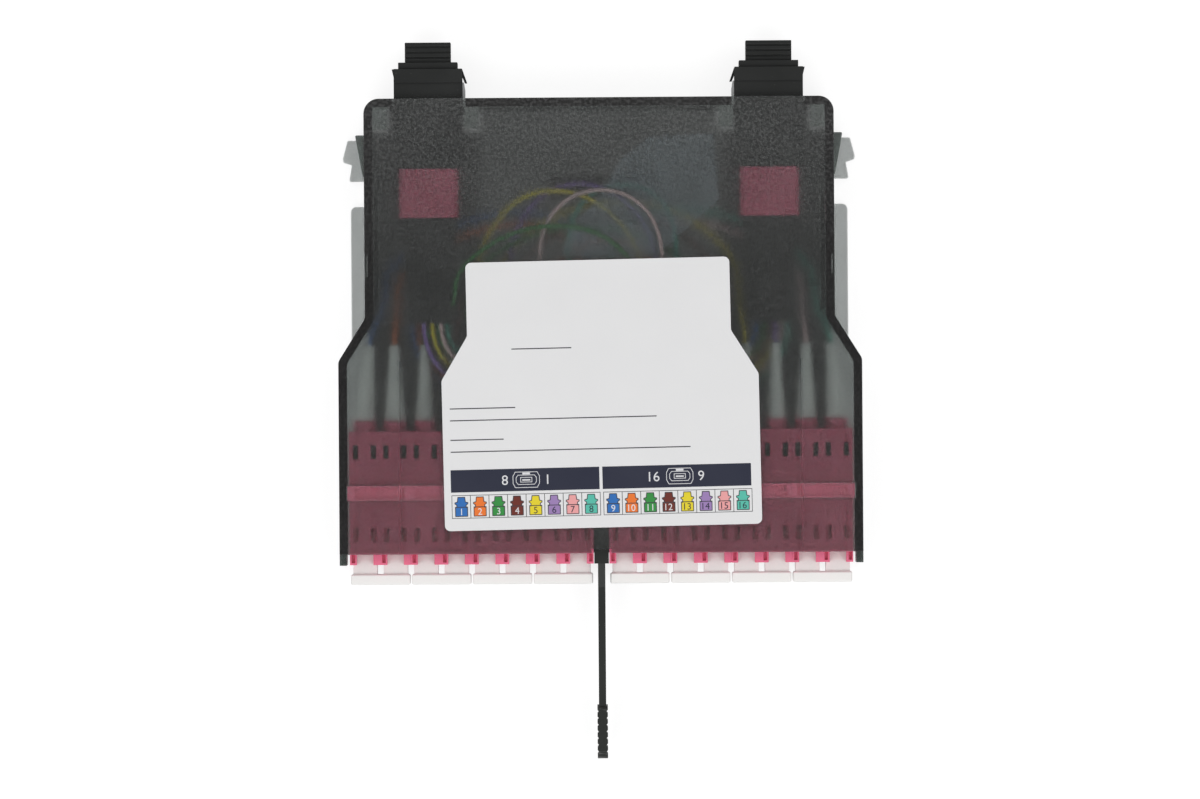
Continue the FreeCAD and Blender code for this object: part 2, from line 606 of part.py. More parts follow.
def make_mpo_adapter():
    """The right MPO adapter: body through the rear wall, end band, side stops, lug and latch finger."""
    half = MPO_WIDTH / 2
    body = box(about(MPO_X, MPO_WIDTH), (MPO_INNER_Y, MPO_OUTER_Y), about(MPO_AXIS, MPO_HEIGHT))
    band_length, band_rise = MPO_BAND
    band_y = (MPO_OUTER_Y - band_length, MPO_OUTER_Y)
    band = box(about(MPO_X, MPO_WIDTH), band_y, about(MPO_AXIS, MPO_HEIGHT + 2 * band_rise))
    wall_inner = REAR_Y - WALL - SEAT_GAP
    reach, length = MPO_SHOULDER
    stops_z = about(MPO_AXIS, MPO_HEIGHT - 2 * MPO_SLEEVE_DROP)
    stops = box(about(MPO_X, MPO_WIDTH + 2 * reach), (wall_inner - length, wall_inner), stops_z)
    lug_reach, lug_length = MPO_LUG
    outboard = MPO_X + half
    lug = plate(
        [
            (outboard - lug_reach, MPO_OUTER_Y - lug_length, 0),
            (outboard, MPO_OUTER_Y - lug_length, 0),
            (outboard + lug_reach, MPO_OUTER_Y, 0),
            (outboard - lug_reach, MPO_OUTER_Y, 0),
        ],
        about(MPO_AXIS, MPO_FINGER_HEIGHT),
    )
    finger_reach, finger_length, finger_thick = MPO_FINGER
    inboard = MPO_X - half
    finger = plate(
        [
            (inboard + finger_thick, MPO_OUTER_Y, 0),
            (inboard, MPO_OUTER_Y, 0),
            (inboard - finger_reach, MPO_OUTER_Y - finger_length, 0),
            (inboard - finger_reach + finger_thick, MPO_OUTER_Y - finger_length, 0),
            (inboard + finger_thick, MPO_OUTER_Y - finger_thick, 0),
        ],
        about(MPO_AXIS, MPO_FINGER_HEIGHT),
    )
    keyway = box(
        about(MPO_X, MPO_KEY[0]),
        (MPO_INNER_Y - 1, MPO_OUTER_Y + 1),
        (MPO_AXIS, MPO_AXIS + MPO_BORE[1] / 2 + MPO_KEY[1]),
    )
    bore = box(about(MPO_X, MPO_BORE[0]), (MPO_INNER_Y - 1, MPO_OUTER_Y + 1), about(MPO_AXIS, MPO_BORE[1]))
    solid = body.multiFuse([band, stops, lug, finger]).cut(Part.makeCompound([bore, keyway]))
    return solid.removeSplitter()


def make_mpo_clip():
    """The leaf of the right MPO adapter's retaining clip, in the rear wall's notch on the inboard side."""
    thick, height = MPO_CLIP
    side = MPO_X - MPO_WIDTH / 2 - MPO_CLIP_SET
    wall_inner = REAR_Y - WALL
    leaf_end = MPO_OUTER_Y - MPO_CLIP_TOP
    leaf = [
        (side, wall_inner, 0),
        (side - thick, wall_inner, 0),
        (side - thick, leaf_end - MPO_FINGER[1], 0),
        (side - thick / 2, leaf_end - MPO_FINGER[1] / 2, 0),
        (side, leaf_end - MPO_FINGER[1] / 2, 0),
    ]
    return plate(leaf, about(MPO_AXIS, height))


def make_mpo_plug():
    """The inner plug of the right MPO connector."""
    y = (SLEEVE_FRONT_Y, MPO_INNER_Y + MPO_PLUG_INSERT)
    plug = box(about(MPO_X, MPO_PLUG[0]), y, about(MPO_AXIS, MPO_PLUG[1]))
    width, rise = MPO_KEY
    top = MPO_AXIS + MPO_BORE[1] / 2 + rise - 2 * MPO_KEY_GAP
    key = box(about(MPO_X, width - 2 * MPO_KEY_GAP), (MPO_INNER_Y, y[1] - MPO_KEY_LEAD), (MPO_AXIS, top))
    return plug.fuse(key).removeSplitter()


def make_mpo_sleeve():
    """The sliding sleeve round the right MPO plug."""
    width, length = MPO_SLEEVE
    y = (SLEEVE_FRONT_Y, SLEEVE_FRONT_Y + length)
    outer = box(about(MPO_X, width), y, about(MPO_AXIS, MPO_HEIGHT - 2 * MPO_SLEEVE_DROP))
    long_edges = [e for e in outer.Edges if abs(e.Vertexes[0].Y - e.Vertexes[1].Y) > 1]
    outer = outer.makeChamfer(MPO_SLEEVE_EDGE, long_edges)
    hole = box(
        about(MPO_X, MPO_PLUG[0] + 2 * SEAT_GAP),
        (y[0] - 1, y[1] + 1),
        about(MPO_AXIS, MPO_PLUG[1] + 2 * SEAT_GAP),
    )
    return outer.cut(hole)


def make_mpo_boot():
    """The boot of the right MPO connector: a collar and a long, slightly tapered tail."""
    width, height, length = MPO_BOOT_COLLAR
    collar = box(about(MPO_X, width), (SLEEVE_FRONT_Y - length, SLEEVE_FRONT_Y), about(MPO_AXIS, height))
    z = about(MPO_AXIS, MPO_BOOT_HEIGHT)
    root = MPO_BOOT_ROOT / 2
    end = MPO_BOOT_END / 2
    tail = [
        (MPO_X - root, SLEEVE_FRONT_Y - length, 0),
        (MPO_X - end, MPO_BOOT_FRONT_Y, MPO_BOOT_TIP_R),
        (MPO_X + end, MPO_BOOT_FRONT_Y, MPO_BOOT_TIP_R),
        (MPO_X + root, SLEEVE_FRONT_Y - length, 0),
    ]
    return collar.fuse(plate(tail, z)).removeSplitter()


def make_mpo_cap():
    """The dust cap of the right MPO adapter: plug, flange and ribbed grip."""
    plug = box(
        about(MPO_X, MPO_PLUG[0]),
        (MPO_OUTER_Y - MPO_CAP_INSERT, MPO_OUTER_Y + 0.5),
        about(MPO_AXIS, MPO_PLUG[1]),
    )
    width, height, thick = MPO_CAP_FLANGE
    flange = box(about(MPO_X, width), (MPO_OUTER_Y, MPO_OUTER_Y + thick), about(MPO_AXIS, height))
    grip_width, grip_height, grip_length = MPO_CAP_GRIP
    grip_y = MPO_OUTER_Y + thick
    grip = box(about(MPO_X, grip_width), (grip_y, grip_y + grip_length), about(MPO_AXIS, grip_height))
    groove_width, groove_depth = MPO_CAP_GROOVE
    cuts = []
    for i in range(1, MPO_CAP_GROOVES + 1):
        y = about(grip_y + i * grip_length / (MPO_CAP_GROOVES + 1) + MPO_CAP_GROOVE_LEAD, groove_width)
        ring = box(about(MPO_X, grip_width + 1), y, about(MPO_AXIS, grip_height + 1))
        core = box(
            about(MPO_X, grip_width - 2 * groove_depth), y, about(MPO_AXIS, grip_height - 2 * groove_depth)
        )
        cuts.append(ring.cut(core))
    return flange.multiFuse([plug, grip]).cut(Part.makeCompound(cuts)).removeSplitter()


def make_pad():
    """The flat pad on the floor under the fibre loops."""
    return box(about(PAD_X, PAD[0]), about(PAD_Y, PAD[1]), (FLOOR, FLOOR + PAD[2]))


# ---- Fibre routes --------------------------------------------------------------------------------
# A loop is written for a fibre of the left half; the right half uses the mirrored loop. It leaves
# the MPO boot towards the front, turns inwards, goes round once and runs into its LC boot.
# start: place in the row at the boot; exit, low, high: heights at the boot, at the loop's front
# and at its rear; crown: x of the loop's rearmost point; drift: from the LC boot to the loop's
# left side; right, rear, waist, front: the loop's extent.
LOOPS = {
    # port: (start, exit, low, high, crown, drift, right, rear, waist, front)
    1: (-3.6, 2.9, 1.75, 1.75, -12.0, 3.4, -1.2, 24.0, 6.0, -14.4),
    2: (-2.4, 2.9, 1.75, 1.75, -13.0, 0.78, -2.6, 21.4, 5.0, -13.2),
    4: (1.8, 7.7, 8.2, 8.1, -8.0, 1.24, 20.0, 22.2, 6.0, -8.8),
    5: (0.6, 8.9, 9.2, 9.25, -11.0, -1.38, 9.0, 28.2, 9.0, -11.2),
    6: (-1.2, 8.9, 10.1, 10.1, -5.0, -1.1, 18.5, 30.4, 12.0, -13.0),
    7: (2.4, 8.9, 10.1, 10.1, 0.3, -1.32, 13.2, 28.5, 15.6, -9.4),
    8: (3.6, 7.7, 7.3, 7.2, 1.0, -1.74, 14.4, 30.0, 20.0, -7.2),
}
# The right half's loops, with x mirrored.
RIGHT_LOOPS = {
    16: (-3.6, 2.9, 1.75, 1.75, -12.0, 3.4, -1.2, 24.6, 6.0, -14.4),
    15: (-2.4, 2.9, 1.75, 1.75, -13.0, 0.78, -2.6, 21.8, 5.0, -13.2),
    13: (-1.2, 2.9, 2.7, 2.7, -5.0, 1.24, 22.0, 26.0, 6.0, -11.8),
    12: (0.0, 2.9, 2.7, 2.7, -4.0, -0.88, 18.0, 23.0, 6.0, -10.6),
    11: (1.2, 4.1, 3.6, 4.6, 3.3, -4.0, 28.3, 20.7, 4.0, -8.6),
    10: (1.2, 2.9, 2.7, 3.65, -4.0, -1.12, 12.0, 18.0, 6.0, -9.4),
    9: (3.0, 4.1, 3.6, 5.6, 2.0, -1.14, 18.0, 12.0, 4.0, -7.2),
}
COLOURS = ("blue", "orange", "green", "brown", "yellow", "violet", "rose", "aqua")


def level(height):
    """A loop's written height, fitted to the room between floor and cover."""
    return FLOOR + (height - FLOOR) * (WALL_TOP - FLOOR) / LOOP_ROOM


def loop_points(port, loop):
    """The corner points of a looped fibre's route, as for the left half."""
    start, leave, low, high, crown, drift, right, rear, waist, front = loop
    leave, low, high = level(leave), level(low), level(high)
    end = -abs(boot_tip_x(port))
    left = end + drift
    x = -MPO_X + start
    first = (MPO_BOOT_FRONT_Y - front) * FIBRE_FIRST
    points = [
        Vector(x, MPO_BOOT_FRONT_Y, leave),
        Vector(x, front + first, leave),
        Vector(x + first, front, low),
    ]
    step = math.pi / 4
    for i in range(6):
        angle = -math.pi / 2 + (i + 0.5) * step
        across = math.cos(angle) / math.cos(step / 2)
        along = math.sin(angle) / math.cos(step / 2)
        side = right - crown if across > 0 else crown - left
        depth = rear - waist if along > 0 else waist - front
        z = low if along < 0 else high
        points.append(Vector(crown + side * across, waist + depth * along, z))
    straight = BOOT_REAR_Y + FIBRE_LEAD
    tail = (points[-1].y - straight) * FIBRE_TAIL
    points.append(Vector(left, straight + tail, (high * 2 + LC_AXIS) / 3))
    points.append(Vector(end, straight, LC_AXIS))
    points.append(Vector(end, BOOT_REAR_Y, LC_AXIS))
    return points


def fibre_points(port):
    """The corner points of any port's fibre; the ports straight in front of the MPO boots have no loop."""
    if port in LOOPS:
        return loop_points(port, LOOPS[port])
    if port in RIGHT_LOOPS:
        return [Vector(-p.x, p.y, p.z) for p in loop_points(port, RIGHT_LOOPS[port])]
    x = port_x(port)
    return [Vector(x, MPO_BOOT_FRONT_Y, LC_AXIS), Vector(x, BOOT_REAR_Y, LC_AXIS)]


def rounded_route(points):
    """A route's corners opened into tangent arcs, given as short chords, and its smallest radius."""
    route = [points[0]]
    smallest = math.inf
    for before, here, after in zip(points, points[1:], points[2:]):
        back = before - here
        ahead = after - here
        turn = math.pi - back.getAngle(ahead)
        reach = FIBRE_REACH * min(back.Length, ahead.Length)
        radius = reach / math.tan(turn / 2)
        smallest = min(smallest, radius)
        inward = (back.normalize() + ahead.normalize()).normalize()
        middle = here + inward * math.hypot(reach, radius)
        spoke = here + back * reach - middle
        axis = back.cross(ahead).normalize()
        count = max(1, math.ceil(math.degrees(turn) / FIBRE_CHORD))
        for i in range(count + 1):
            swing = FreeCAD.Rotation(axis, -math.degrees(turn) * i / count)
            route.append(middle + swing.multVec(spoke))
    return route + [points[-1]], smallest


def make_tube(route, side):
    """A plain tube of square section along a route, mitred at each corner, and the route's length."""
    ahead = (route[1] - route[0]).normalize()
    across = ahead.cross(Vector(0, 0, 1)).normalize() * (side / 2)
    up = Vector(0, 0, side / 2)
    ring = [route[0] - across - up, route[0] + across - up, route[0] + across + up, route[0] - across + up]
    rings = [ring]
    length = 0.0
    for i in range(1, len(route)):
        run = route[i] - route[i - 1]
        length += run.Length
        ahead = run.normalize()
        plane = ahead
        if i + 1 < len(route):
            plane = (ahead + (route[i + 1] - route[i]).normalize()).normalize()
        ring = [p + ahead * ((route[i] - p).dot(plane) / ahead.dot(plane)) for p in ring]
        rings.append(ring)
    return skin(rings), length


def make_fibre(port):
    """One fibre as a plain tube along its route."""
    route, radius = rounded_route(fibre_points(port))
    solid, length = make_tube(route, FIBRE)
    ratio = solid.Volume / (FIBRE * FIBRE * length)
    print(f"fibre {port}: length {length:.1f}, smallest radius {radius:.1f}, volume ratio {ratio:.3f}")
    return solid


def build():
    """Every sub-part of the cassette by node name."""
    ports = range(1, 2 * PORTS + 1)
    parts = {
        "base_shell": make_base(),
        "top_cover": make_cover(),
        "label": make_label(),
        "pull_lever": make_lever(),
        "fibre_pad": make_pad(),
        "lc_boots_left": Part.makeCompound([make_boot(n) for n in ports if n <= PORTS]),
        "lc_boots_right": Part.makeCompound([make_boot(n) for n in ports if n > PORTS]),
    }
    for number in ports:
        parts[f"lc_connector_{number}"] = make_lc_connector(port_x(number))
    for pair in range(PORTS):
        parts[f"lc_adapter_{pair + 1}"] = make_lc_adapter(pair)
        parts[f"lc_dust_cap_{pair + 1}"] = make_lc_cap(pair)
    mpo_pieces = {
        "mpo_adapter": make_mpo_adapter(),
        "mpo_plug": make_mpo_plug(),
        "mpo_sleeve": make_mpo_sleeve(),
        "mpo_boot": make_mpo_boot(),
        "mpo_dust_cap": make_mpo_cap(),
        "mpo_clip": make_mpo_clip(),
    }
    for name, shape in mpo_pieces.items():
        parts[f"{name}_right"] = shape
        parts[f"{name}_left"] = mirrored(shape)
    for i, colour in enumerate(COLOURS):
        parts[f"fibres_{colour}"] = Part.makeCompound([make_fibre(i + 1), make_fibre(i + 1 + PORTS)])
    return parts


def main():
    """Writes one STEP file for each sub-part."""
    os.makedirs("parts", exist_ok=True)
    for name, shape in build().items():
        shape.exportStep(f"parts/{name}.step")


main()
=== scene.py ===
"""Dresses the fibre cassette: smoked housing, coloured fibres, plugs, adapters, caps, lever and label.

Lengths are in millimetres, apart from those whose comment says metres. They are turned to metres where
a mesh, a material or the camera takes them.
"""

from __future__ import annotations

import json
import logging
import math
from dataclasses import dataclass
from enum import Enum

import bmesh
import bpy
from bpy.types import ID, Material, Mesh, Node, NodeOutputs, NodeSocket, NodeTree, Object
from mathutils import Matrix, Vector

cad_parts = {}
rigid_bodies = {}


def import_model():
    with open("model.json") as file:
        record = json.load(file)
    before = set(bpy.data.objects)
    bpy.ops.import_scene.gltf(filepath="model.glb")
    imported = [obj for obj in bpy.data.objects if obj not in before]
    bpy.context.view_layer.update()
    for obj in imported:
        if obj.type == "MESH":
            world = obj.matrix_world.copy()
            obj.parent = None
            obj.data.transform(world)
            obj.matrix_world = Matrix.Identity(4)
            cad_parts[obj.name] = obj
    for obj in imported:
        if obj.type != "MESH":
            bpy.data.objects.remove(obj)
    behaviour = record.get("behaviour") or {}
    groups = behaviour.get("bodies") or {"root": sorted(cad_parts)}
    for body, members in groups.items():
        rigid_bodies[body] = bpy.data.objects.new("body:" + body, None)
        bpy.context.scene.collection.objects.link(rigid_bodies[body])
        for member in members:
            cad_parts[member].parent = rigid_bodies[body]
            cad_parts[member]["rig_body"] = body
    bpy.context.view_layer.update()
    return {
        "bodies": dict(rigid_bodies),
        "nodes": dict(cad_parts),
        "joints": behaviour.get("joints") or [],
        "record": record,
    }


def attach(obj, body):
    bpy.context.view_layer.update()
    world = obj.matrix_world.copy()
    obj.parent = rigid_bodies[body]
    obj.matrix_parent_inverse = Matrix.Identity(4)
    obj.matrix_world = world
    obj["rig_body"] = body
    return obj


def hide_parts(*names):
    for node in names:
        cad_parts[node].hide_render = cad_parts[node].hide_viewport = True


LOG = logging.getLogger("fibre_cassette")
MM = 0.001
Pair = tuple[float, float]
Triple = tuple[float, float, float]
PORT_PITCH = 6.42
FIRST_PORT = 4.86
PORTS_A_SIDE = 8
AXIS = 5.5
# The outermost boots and their fibres lean towards the middle by this much.
LEAN = 1.2
# Vertices nearer to each other than this, in metres, are one.
SAME_PLACE = 2e-6
FLAT_ANGLE = math.radians(1)
SHARP_ANGLE = math.radians(35)
# A printed line's mitre stops growing where the cosine of half a corner's turn falls below this.
SHARPEST_CORNER = 0.35
# How far vertices may lie from the level that they are found by.
LEVEL_SLACK = 0.06


class Port(Enum):
    """The eight fibre colours, in port order."""

    BLUE = (0.028, 0.155, 0.470)
    ORANGE = (0.830, 0.190, 0.030)
    GREEN = (0.035, 0.270, 0.055)
    BROWN = (0.155, 0.030, 0.020)
    YELLOW = (0.790, 0.650, 0.030)
    VIOLET = (0.340, 0.220, 0.470)
    ROSE = (0.830, 0.370, 0.370)
    AQUA = (0.100, 0.510, 0.400)


def port_places(side: int) -> list[float]:
    """The x of the port axes on one side, -1 or 1, from the lever outwards."""
    return [side * (FIRST_PORT + i * PORT_PITCH) for i in range(PORTS_A_SIDE)]


class Nodes:
    """Short calls for filling a node tree."""

    def __init__(self, tree: NodeTree) -> None:
        """Takes the tree to fill."""
        self.tree = tree

    def fill(self, node: Node, inputs: dict) -> Node:
        """Joins sockets to a node's inputs, by name or index, and sets its other inputs to values."""
        for name, value in inputs.items():
            if isinstance(value, NodeSocket):
                self.tree.links.new(value, node.inputs[name])
            else:
                node.inputs[name].default_value = value
        return node

    def add(self, kind: str, inputs: dict | None = None, **settings: object) -> Node:
        """Adds a node with its own settings, and fills its inputs."""
        node = self.tree.nodes.new(kind)
        for name, value in settings.items():
            setattr(node, name, value)
        return self.fill(node, inputs or {})

    def group(self, tree: NodeTree, inputs: dict) -> NodeOutputs:
        """Adds a shared group, and returns its outputs."""
        return self.add("ShaderNodeGroup", inputs, node_tree=tree).outputs

    def math(self, operation: str, *values: object) -> NodeSocket:
        """Adds a math node and returns its result."""
        return self.add("ShaderNodeMath", dict(enumerate(values)), operation=operation).outputs[0]


# ---- Shared surface effects


class SurfaceGroups:
    """Shader groups that several finishes share. Their scales, widths and ends are for metres."""

    grey = (0.5, 0.5, 0.5, 1)
    drift_scale = 90.0
    fine_share = 0.6
    shade_swing = 3.0
    gloss_swing = 0.25
    dust_scale = 900.0
    dust_slope = 0.6
    dust_cover = 0.35
    dust_colour = (0.6, 0.6, 0.58, 1)
    dust_roughness = 0.9
    speck_range = (0.42, 0.68)
    speck_least = 0.3

    def __init__(self) -> None:
        """Builds each group once."""
        self.grain = self._moulded_grain()
        self.dust = self._settled_dust()
        self.painted_shade = self._painted_shade()
        self.frost = self._frost()

    @staticmethod
    def _new(name: str, inputs: dict, outputs: tuple[str, ...]) -> tuple[Nodes, NodeOutputs, NodeSocket]:
        """An empty group: calls for its tree, its inputs, and the place on the object.

        A socket named Colour is a colour, and every other one a number.
        """
        tree = bpy.data.node_groups.new(name, "ShaderNodeTree")
        kinds = {socket: "NodeSocketFloat" for socket in (*inputs, *outputs)} | {"Colour": "NodeSocketColor"}
        for socket, value in inputs.items():
            made = tree.interface.new_socket(socket, in_out="INPUT", socket_type=kinds[socket])
            made.default_value = value
        for socket in outputs:
            tree.interface.new_socket(socket, in_out="OUTPUT", socket_type=kinds[socket])
        n = Nodes(tree)
        return n, n.add("NodeGroupInput").outputs, n.add("ShaderNodeTexCoord").outputs["Object"]

    def _moulded_grain(self) -> NodeTree:
        """Spark-eroded mould grain: a fine height, with slow drifts in shade and gloss."""
        n, given, place = self._new(
            "moulded grain",
            {"Colour": self.grey, "Roughness": 0.5, "Grain Size": 0.3, "Mottle": 0.1},
            ("Colour", "Roughness", "Height"),
        )
        scale = n.math("DIVIDE", 1000.0, given["Grain Size"])
        fine = n.add("ShaderNodeTexNoise", {"Vector": place, "Scale": scale, "Detail": 2.0}).outputs[0]
        slow = {"Vector": place, "Scale": self.drift_scale, "Detail": 3.0}
        drift = n.add("ShaderNodeTexNoise", slow).outputs[0]
        drift_part = n.math("MULTIPLY", drift, 1 - self.fine_share)
        both = n.math("ADD", n.math("MULTIPLY", fine, self.fine_share), drift_part)
        swing = n.math("MULTIPLY", n.math("SUBTRACT", both, 0.5), given["Mottle"])
        shade = n.math("MULTIPLY_ADD", swing, self.shade_swing, 1.0)
        colour = n.add("ShaderNodeHueSaturation", {"Color": given["Colour"], "Value": shade}).outputs[0]
        sway = n.math("SUBTRACT", drift, 0.5)
        gloss = n.math("MULTIPLY_ADD", sway, self.gloss_swing, given["Roughness"])
        n.add("NodeGroupOutput", {"Colour": colour, "Roughness": gloss, "Height": fine})
        return n.tree

    def _settled_dust(self) -> NodeTree:
        """Sparse pale specks of dust that lie on faces which look up."""
        n, given, place = self._new(
            "settled dust",
            {"Colour": self.grey, "Roughness": 0.5, "Amount": 0.1},
            ("Colour", "Roughness"),
        )
        cells = n.add("ShaderNodeTexVoronoi", {"Vector": place, "Scale": self.dust_scale}).outputs["Distance"]
        speck = n.math("LESS_THAN", cells, given["Amount"])
        up = n.add("ShaderNodeSeparateXYZ", {0: n.add("ShaderNodeNewGeometry").outputs["Normal"]}).outputs[2]
        mask = n.math("MULTIPLY", speck, n.math("GREATER_THAN", up, self.dust_slope))
        tones = {0: n.math("MULTIPLY", mask, self.dust_cover), 6: given["Colour"], 7: self.dust_colour}
        mix = n.add("ShaderNodeMix", tones, data_type="RGBA")
        rough = n.math("MAXIMUM", given["Roughness"], n.math("MULTIPLY", mask, self.dust_roughness))
        n.add("NodeGroupOutput", {"Colour": mix.outputs[2], "Roughness": rough})
        return n.tree

    def _painted_shade(self) -> NodeTree:
        """Painted shade: darkens a colour by its distance from the middle, by one amount in the middle and
        another further out.
        """
        shades = {"Half Width": 0.05, "Shade": 1.0, "Middle Half Width": 0.025, "Middle Shade": 1.0}
        n, given, place = self._new("inner shade", {"Colour": self.grey, **shades}, ("Colour",))
        across = n.math("ABSOLUTE", n.add("ShaderNodeSeparateXYZ", {0: place}).outputs[0])
        inside = n.math("LESS_THAN", across, given["Half Width"])
        middle = n.math("LESS_THAN", across, given["Middle Half Width"])
        sides = n.add("ShaderNodeMix", {0: inside, 2: 1.0, 3: given["Shade"]}).outputs[0]
        value = n.add("ShaderNodeMix", {0: middle, 2: sides, 3: given["Middle Shade"]}).outputs[0]
        colour = n.add("ShaderNodeHueSaturation", {"Color": given["Colour"], "Value": value}).outputs[0]
        n.add("NodeGroupOutput", {"Colour": colour})
        return n.tree

    def _frost(self) -> NodeTree:
        """Fine bright specks where a textured surface throws light back, weaker towards the front."""
        ends = {"Front Share": 1.0, "Front End": 0.01, "Rear End": 0.045}
        n, given, place = self._new("frost", {"Speck Size": 0.3, "Amount": 0.5, **ends}, ("Weight",))
        scale = n.math("DIVIDE", 1000.0, given["Speck Size"])
        fine = n.add("ShaderNodeTexNoise", {"Vector": place, "Scale": scale, "Detail": 0.0}).outputs[0]
        low, high = self.speck_range
        limits = {"Value": fine, "From Min": low, "From Max": high, "To Min": self.speck_least, "To Max": 1.0}
        specks = n.add("ShaderNodeMapRange", limits).outputs[0]
        along = n.add("ShaderNodeSeparateXYZ", {0: place}).outputs[1]
        limits = {"Value": along, "From Min": given["Front End"], "From Max": given["Rear End"]}
        limits |= {"To Min": given["Front Share"], "To Max": 1.0}
        share = n.add("ShaderNodeMapRange", limits).outputs[0]
        weight = n.math("MULTIPLY", n.math("MULTIPLY", specks, share), given["Amount"])
        n.add("NodeGroupOutput", {"Weight": weight})
        return n.tree


# ---- Finishes


@dataclass(frozen=True)
class MouldedPlastic:
    """Opaque moulded plastic or rubber with a fine mould grain."""

    name: str
    colour: Triple
    roughness: float = 0.42
    grain: float = 0.3
    depth: float = 0.012
    mottle: float = 0.10
    dust: float = 0.0
    glow: float = 0.0
    glow_depth: float = 0.8
    alpha: float = 1.0

    def build(self, groups: SurfaceGroups) -> Material:
        """Makes the material."""
        material, n, shader = new_material(self.name)
        given = {"Colour": (*self.colour, 1), "Roughness": self.roughness}
        grain = n.group(groups.grain, {**given, "Grain Size": self.grain, "Mottle": self.mottle})
        surface = grain
        if self.dust:
            given = {"Colour": grain["Colour"], "Roughness": grain["Roughness"], "Amount": self.dust}
            surface = n.group(groups.dust, given)
        bump = n.add("ShaderNodeBump", {"Height": grain["Height"], "Distance": self.depth * MM})
        n.fill(shader, {"Base Color": surface["Colour"], "Roughness": surface["Roughness"]})
        n.fill(shader, {"Normal": bump.outputs[0], "Alpha": self.alpha})
        if self.glow:
            under = {"Weight": self.glow, "Radius": self.colour, "Scale": self.glow_depth * MM}
            n.fill(shader, {f"Subsurface {name}": value for name, value in under.items()})
        return material


@dataclass(frozen=True)
class SmokedPlastic:
    """Clear smoked plastic: its body takes up light, and a fine texture scatters what passes."""

    name: str
    roughness: float
    density: float
    ior: float = 1.5
    clear: Triple = (0.96, 0.975, 0.97)
    body: Triple = (0.20, 0.26, 0.235)
    # Painted shade: the colour is darkened out to these half widths from the middle, in place of the shade
    # that falls under and inside the housing.
    painted_middle_shade: float = 1.0
    middle_half: float = 25.2
    painted_floor_shade: float = 1.0
    floor_half: float = 49.0
    frost: float = 0.5
    front_share: float = 1.0
    frost_front: float = 9.0
    frost_rear: float = 44.0
    frost_roughness: float = 0.55
    frost_ior: float = 1.85
    grain: float = 0.45
    speckle: float = 0.25

    def build(self, groups: SurfaceGroups) -> Material:
        """Makes the material."""
        material, n, shader = new_material(self.name)
        given = {"Colour": (*self.clear, 1), "Roughness": self.roughness}
        grain = n.group(groups.grain, {**given, "Grain Size": self.grain, "Mottle": self.speckle})
        # Painted shade: the colour darkened by its distance from the middle.
        shade = n.group(
            groups.painted_shade,
            {
                "Colour": grain["Colour"],
                "Half Width": self.floor_half * MM,
                "Shade": self.painted_floor_shade,
                "Middle Half Width": self.middle_half * MM,
                "Middle Shade": self.painted_middle_shade,
            },
        )
        frost = n.group(
            groups.frost,
            {
                "Speck Size": self.grain,
                "Amount": self.frost,
                "Front Share": self.front_share,
                "Front End": self.frost_front * MM,
                "Rear End": self.frost_rear * MM,
            },
        )
        n.fill(
            shader,
            {
                "Base Color": shade["Colour"],
                "Roughness": grain["Roughness"],
                "IOR": self.ior,
                "Transmission Weight": 1.0,
                "Coat Weight": frost["Weight"],
                "Coat Roughness": self.frost_roughness,
                "Coat IOR": self.frost_ior,
            },
        )
        absorb = n.add("ShaderNodeVolumeAbsorption", {"Color": (*self.body, 1), "Density": self.density})
        n.fill(n.tree.nodes["Material Output"], {"Volume": absorb.outputs[0]})
        return material


@dataclass(frozen=True)
class SpringSteel:
    """Bright rolled spring steel."""

    name: str
    colour: Triple = (0.62, 0.63, 0.63)
    roughness: float = 0.33

    def build(self, groups: SurfaceGroups) -> Material:
        """Makes the material."""
        material, n, shader = new_material(self.name)
        grain = n.group(groups.grain, {"Colour": (*self.colour, 1), "Roughness": self.roughness})
        n.fill(shader, {"Base Color": grain["Colour"], "Roughness": grain["Roughness"], "Metallic": 1.0})
        return material


def new_material(name: str) -> tuple[Material, Nodes, Node]:
    """Makes a material with only its shader and output."""
    material = bpy.data.materials.new(name)
    material.use_nodes = True
    return material, Nodes(material.node_tree), material.node_tree.nodes["Principled BSDF"]


